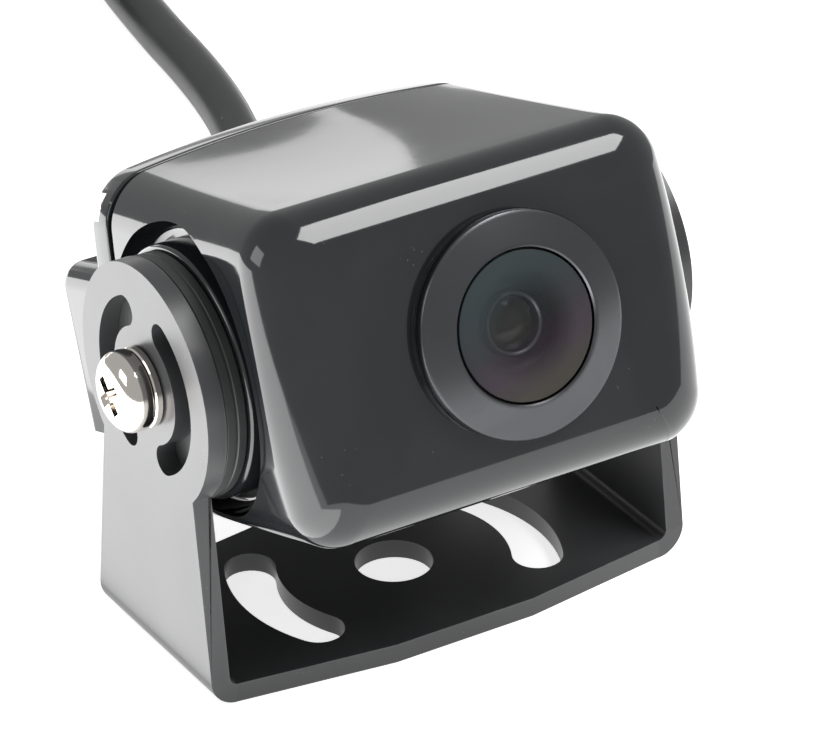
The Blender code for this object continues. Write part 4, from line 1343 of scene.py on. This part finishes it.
def buildTie():
    # a thin strap round both turns, with a lock beside them
    centre = alongLead(0, -leadSize["coilRadius"])
    thick, slack = leadSize["diameter"] / 2, 0.3 * mm
    low, high = leadSize["coilLow"] - 0.3 * mm, leadSize["coilLow"] + 2 * leadSize["diameter"] + 0.3 * mm
    strap, half = 0.6 * mm, 2.4 * mm
    outline = sectionOutline(thick + slack + strap, low - strap, high + strap, 2.2 * mm, 0, 0, 4, 3, 8)
    tie = drawnOutline("coilTie", outline, "Y", -half, half)
    hollow = sectionOutline(thick + slack, low, high, 1.7 * mm, 0, 0, 4, 3, 8)
    combine(tie, drawnOutline("hollow", hollow, "Y", -half - mm, half + mm))
    edge = -thick - slack
    lock = block("lock", (edge - 1.9 * mm, -2.9 * mm, 4.6 * mm), (edge - 0.1 * mm, 2.9 * mm, 9.2 * mm))
    roundEdges(lock, 0.4 * mm, 3)
    combine(tie, lock, "UNION")
    fixNormals(tie)
    roundEdges(tie, 0.12 * mm, 2, 50)
    smooth(tie, 35)
    return settle(tie, bracketPlace @ Matrix.Translation((centre.x - leadSize["coilRadius"], centre.y, 0)))


plugPieces = [
    finishPiece(buildSleeve(), "rubber", "black_rubber", "bracket", "connector_sleeve"),
    finishPiece(buildConnectorBody(), "satinNickel", "nickel_brass", "bracket", "connector_body"),
    finishPiece(buildInsert(), "plastic", "black_plastic", "bracket", "connector_insert"),
    finishPiece(buildCollar(), "satinNickel", "nickel_brass", "connector_nut", "connector_collar"),
    finishPiece(buildTie(), "plastic", "black_rubber", "bracket", "coil_tie"),
] + buildPins()
print("connector and tie ready")

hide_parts("lead", "lead_coil", "lead_tail")
tuple(leadPath[0])
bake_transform(lead)
tuple(leadPath[0])
round(pathLength(leadPath), 3)
[tuple(point) for point in leadPath]

# the pieces inside keep their CAD shapes and get their finishes
insideLooks = dict(
    lens_seal="rubber", lens_barrel="anodised", rear_element="innerGlass", lens_holder="plastic",
    infrared_filter="chip", image_sensor="chip", sensor_board="board", main_board="board",
    board_header="plastic", lead_socket="ivory", lead_plug="ivory", lead_wires="rubber",
    rear_gasket="rubber",
)  # fmt: skip
for number in range(1, 5):
    insideLooks[f"board_post_{number}"] = "brass"
    insideLooks[f"board_screw_{number}"] = "nickel"
for name, look in insideLooks.items():
    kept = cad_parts[name]
    kept.data.materials.clear()
    kept.data.materials.append(finish[look])

# floor and light
studio = dict(floor=0.7, glow=0.75, world=0.5)


def buildFloor():
    deselectAll()
    bpy.ops.mesh.primitive_plane_add(size=studio["floor"], location=(0, 0.05, 0))
    floor = settle(named("paleFloor"))
    made, tree, shader, where = startMaterial("paleFloor", Roughness=0.6)
    ripple = useGroup(tree, "ripple", where, Coarse=30.0, Fine=300.0, Fine_Share=0.2)
    tint = mixColours(tree, ripple.outputs["Smudge"], (0.86, 0.86, 0.86), (0.9, 0.9, 0.9))
    tree.links.new(tint, shader.inputs["Base Color"])
    setValues(shader, Emission_Color=(1, 1, 1, 1), Emission_Strength=studio["glow"])
    floor.data.materials.append(made)


def addLight(name, location, target, size, power):
    deselectAll()
    turn = (Vector(target) - Vector(location)).to_track_quat("-Z", "Y").to_euler()
    bpy.ops.object.light_add(type="AREA", location=location, rotation=turn)
    light = bpy.context.active_object
    light.name = name
    light.data.shape = "RECTANGLE"
    light.data.size, light.data.size_y = size
    light.data.energy = power


buildFloor()
addLight("softFront", (0.37, -0.24, 0.75), (0, 0, 0.03), (0.6, 0.36), 5.6)
addLight("softLeft", (-0.9, 0.1, 0.5), (0, 0, 0.03), (0.5, 0.5), 2)
addLight("softBack", (0.20, 1.1, 0.07), (0, 0, 0.03), (0.7, 0.14), 0.38)
addLight("tableGlow", (-0.184, 0.135, 0.001), (-0.184, 0.135, 1), (0.311, 0.55), 1.35)
world = bpy.data.worlds.new("softStudio")
world.use_nodes = True
world.node_tree.nodes["Background"].inputs["Color"].default_value = (1, 1, 1, 1)
world.node_tree.nodes["Background"].inputs["Strength"].default_value = studio["world"]
bpy.context.scene.world = world
bpy.context.scene.view_settings.view_transform = "Standard"
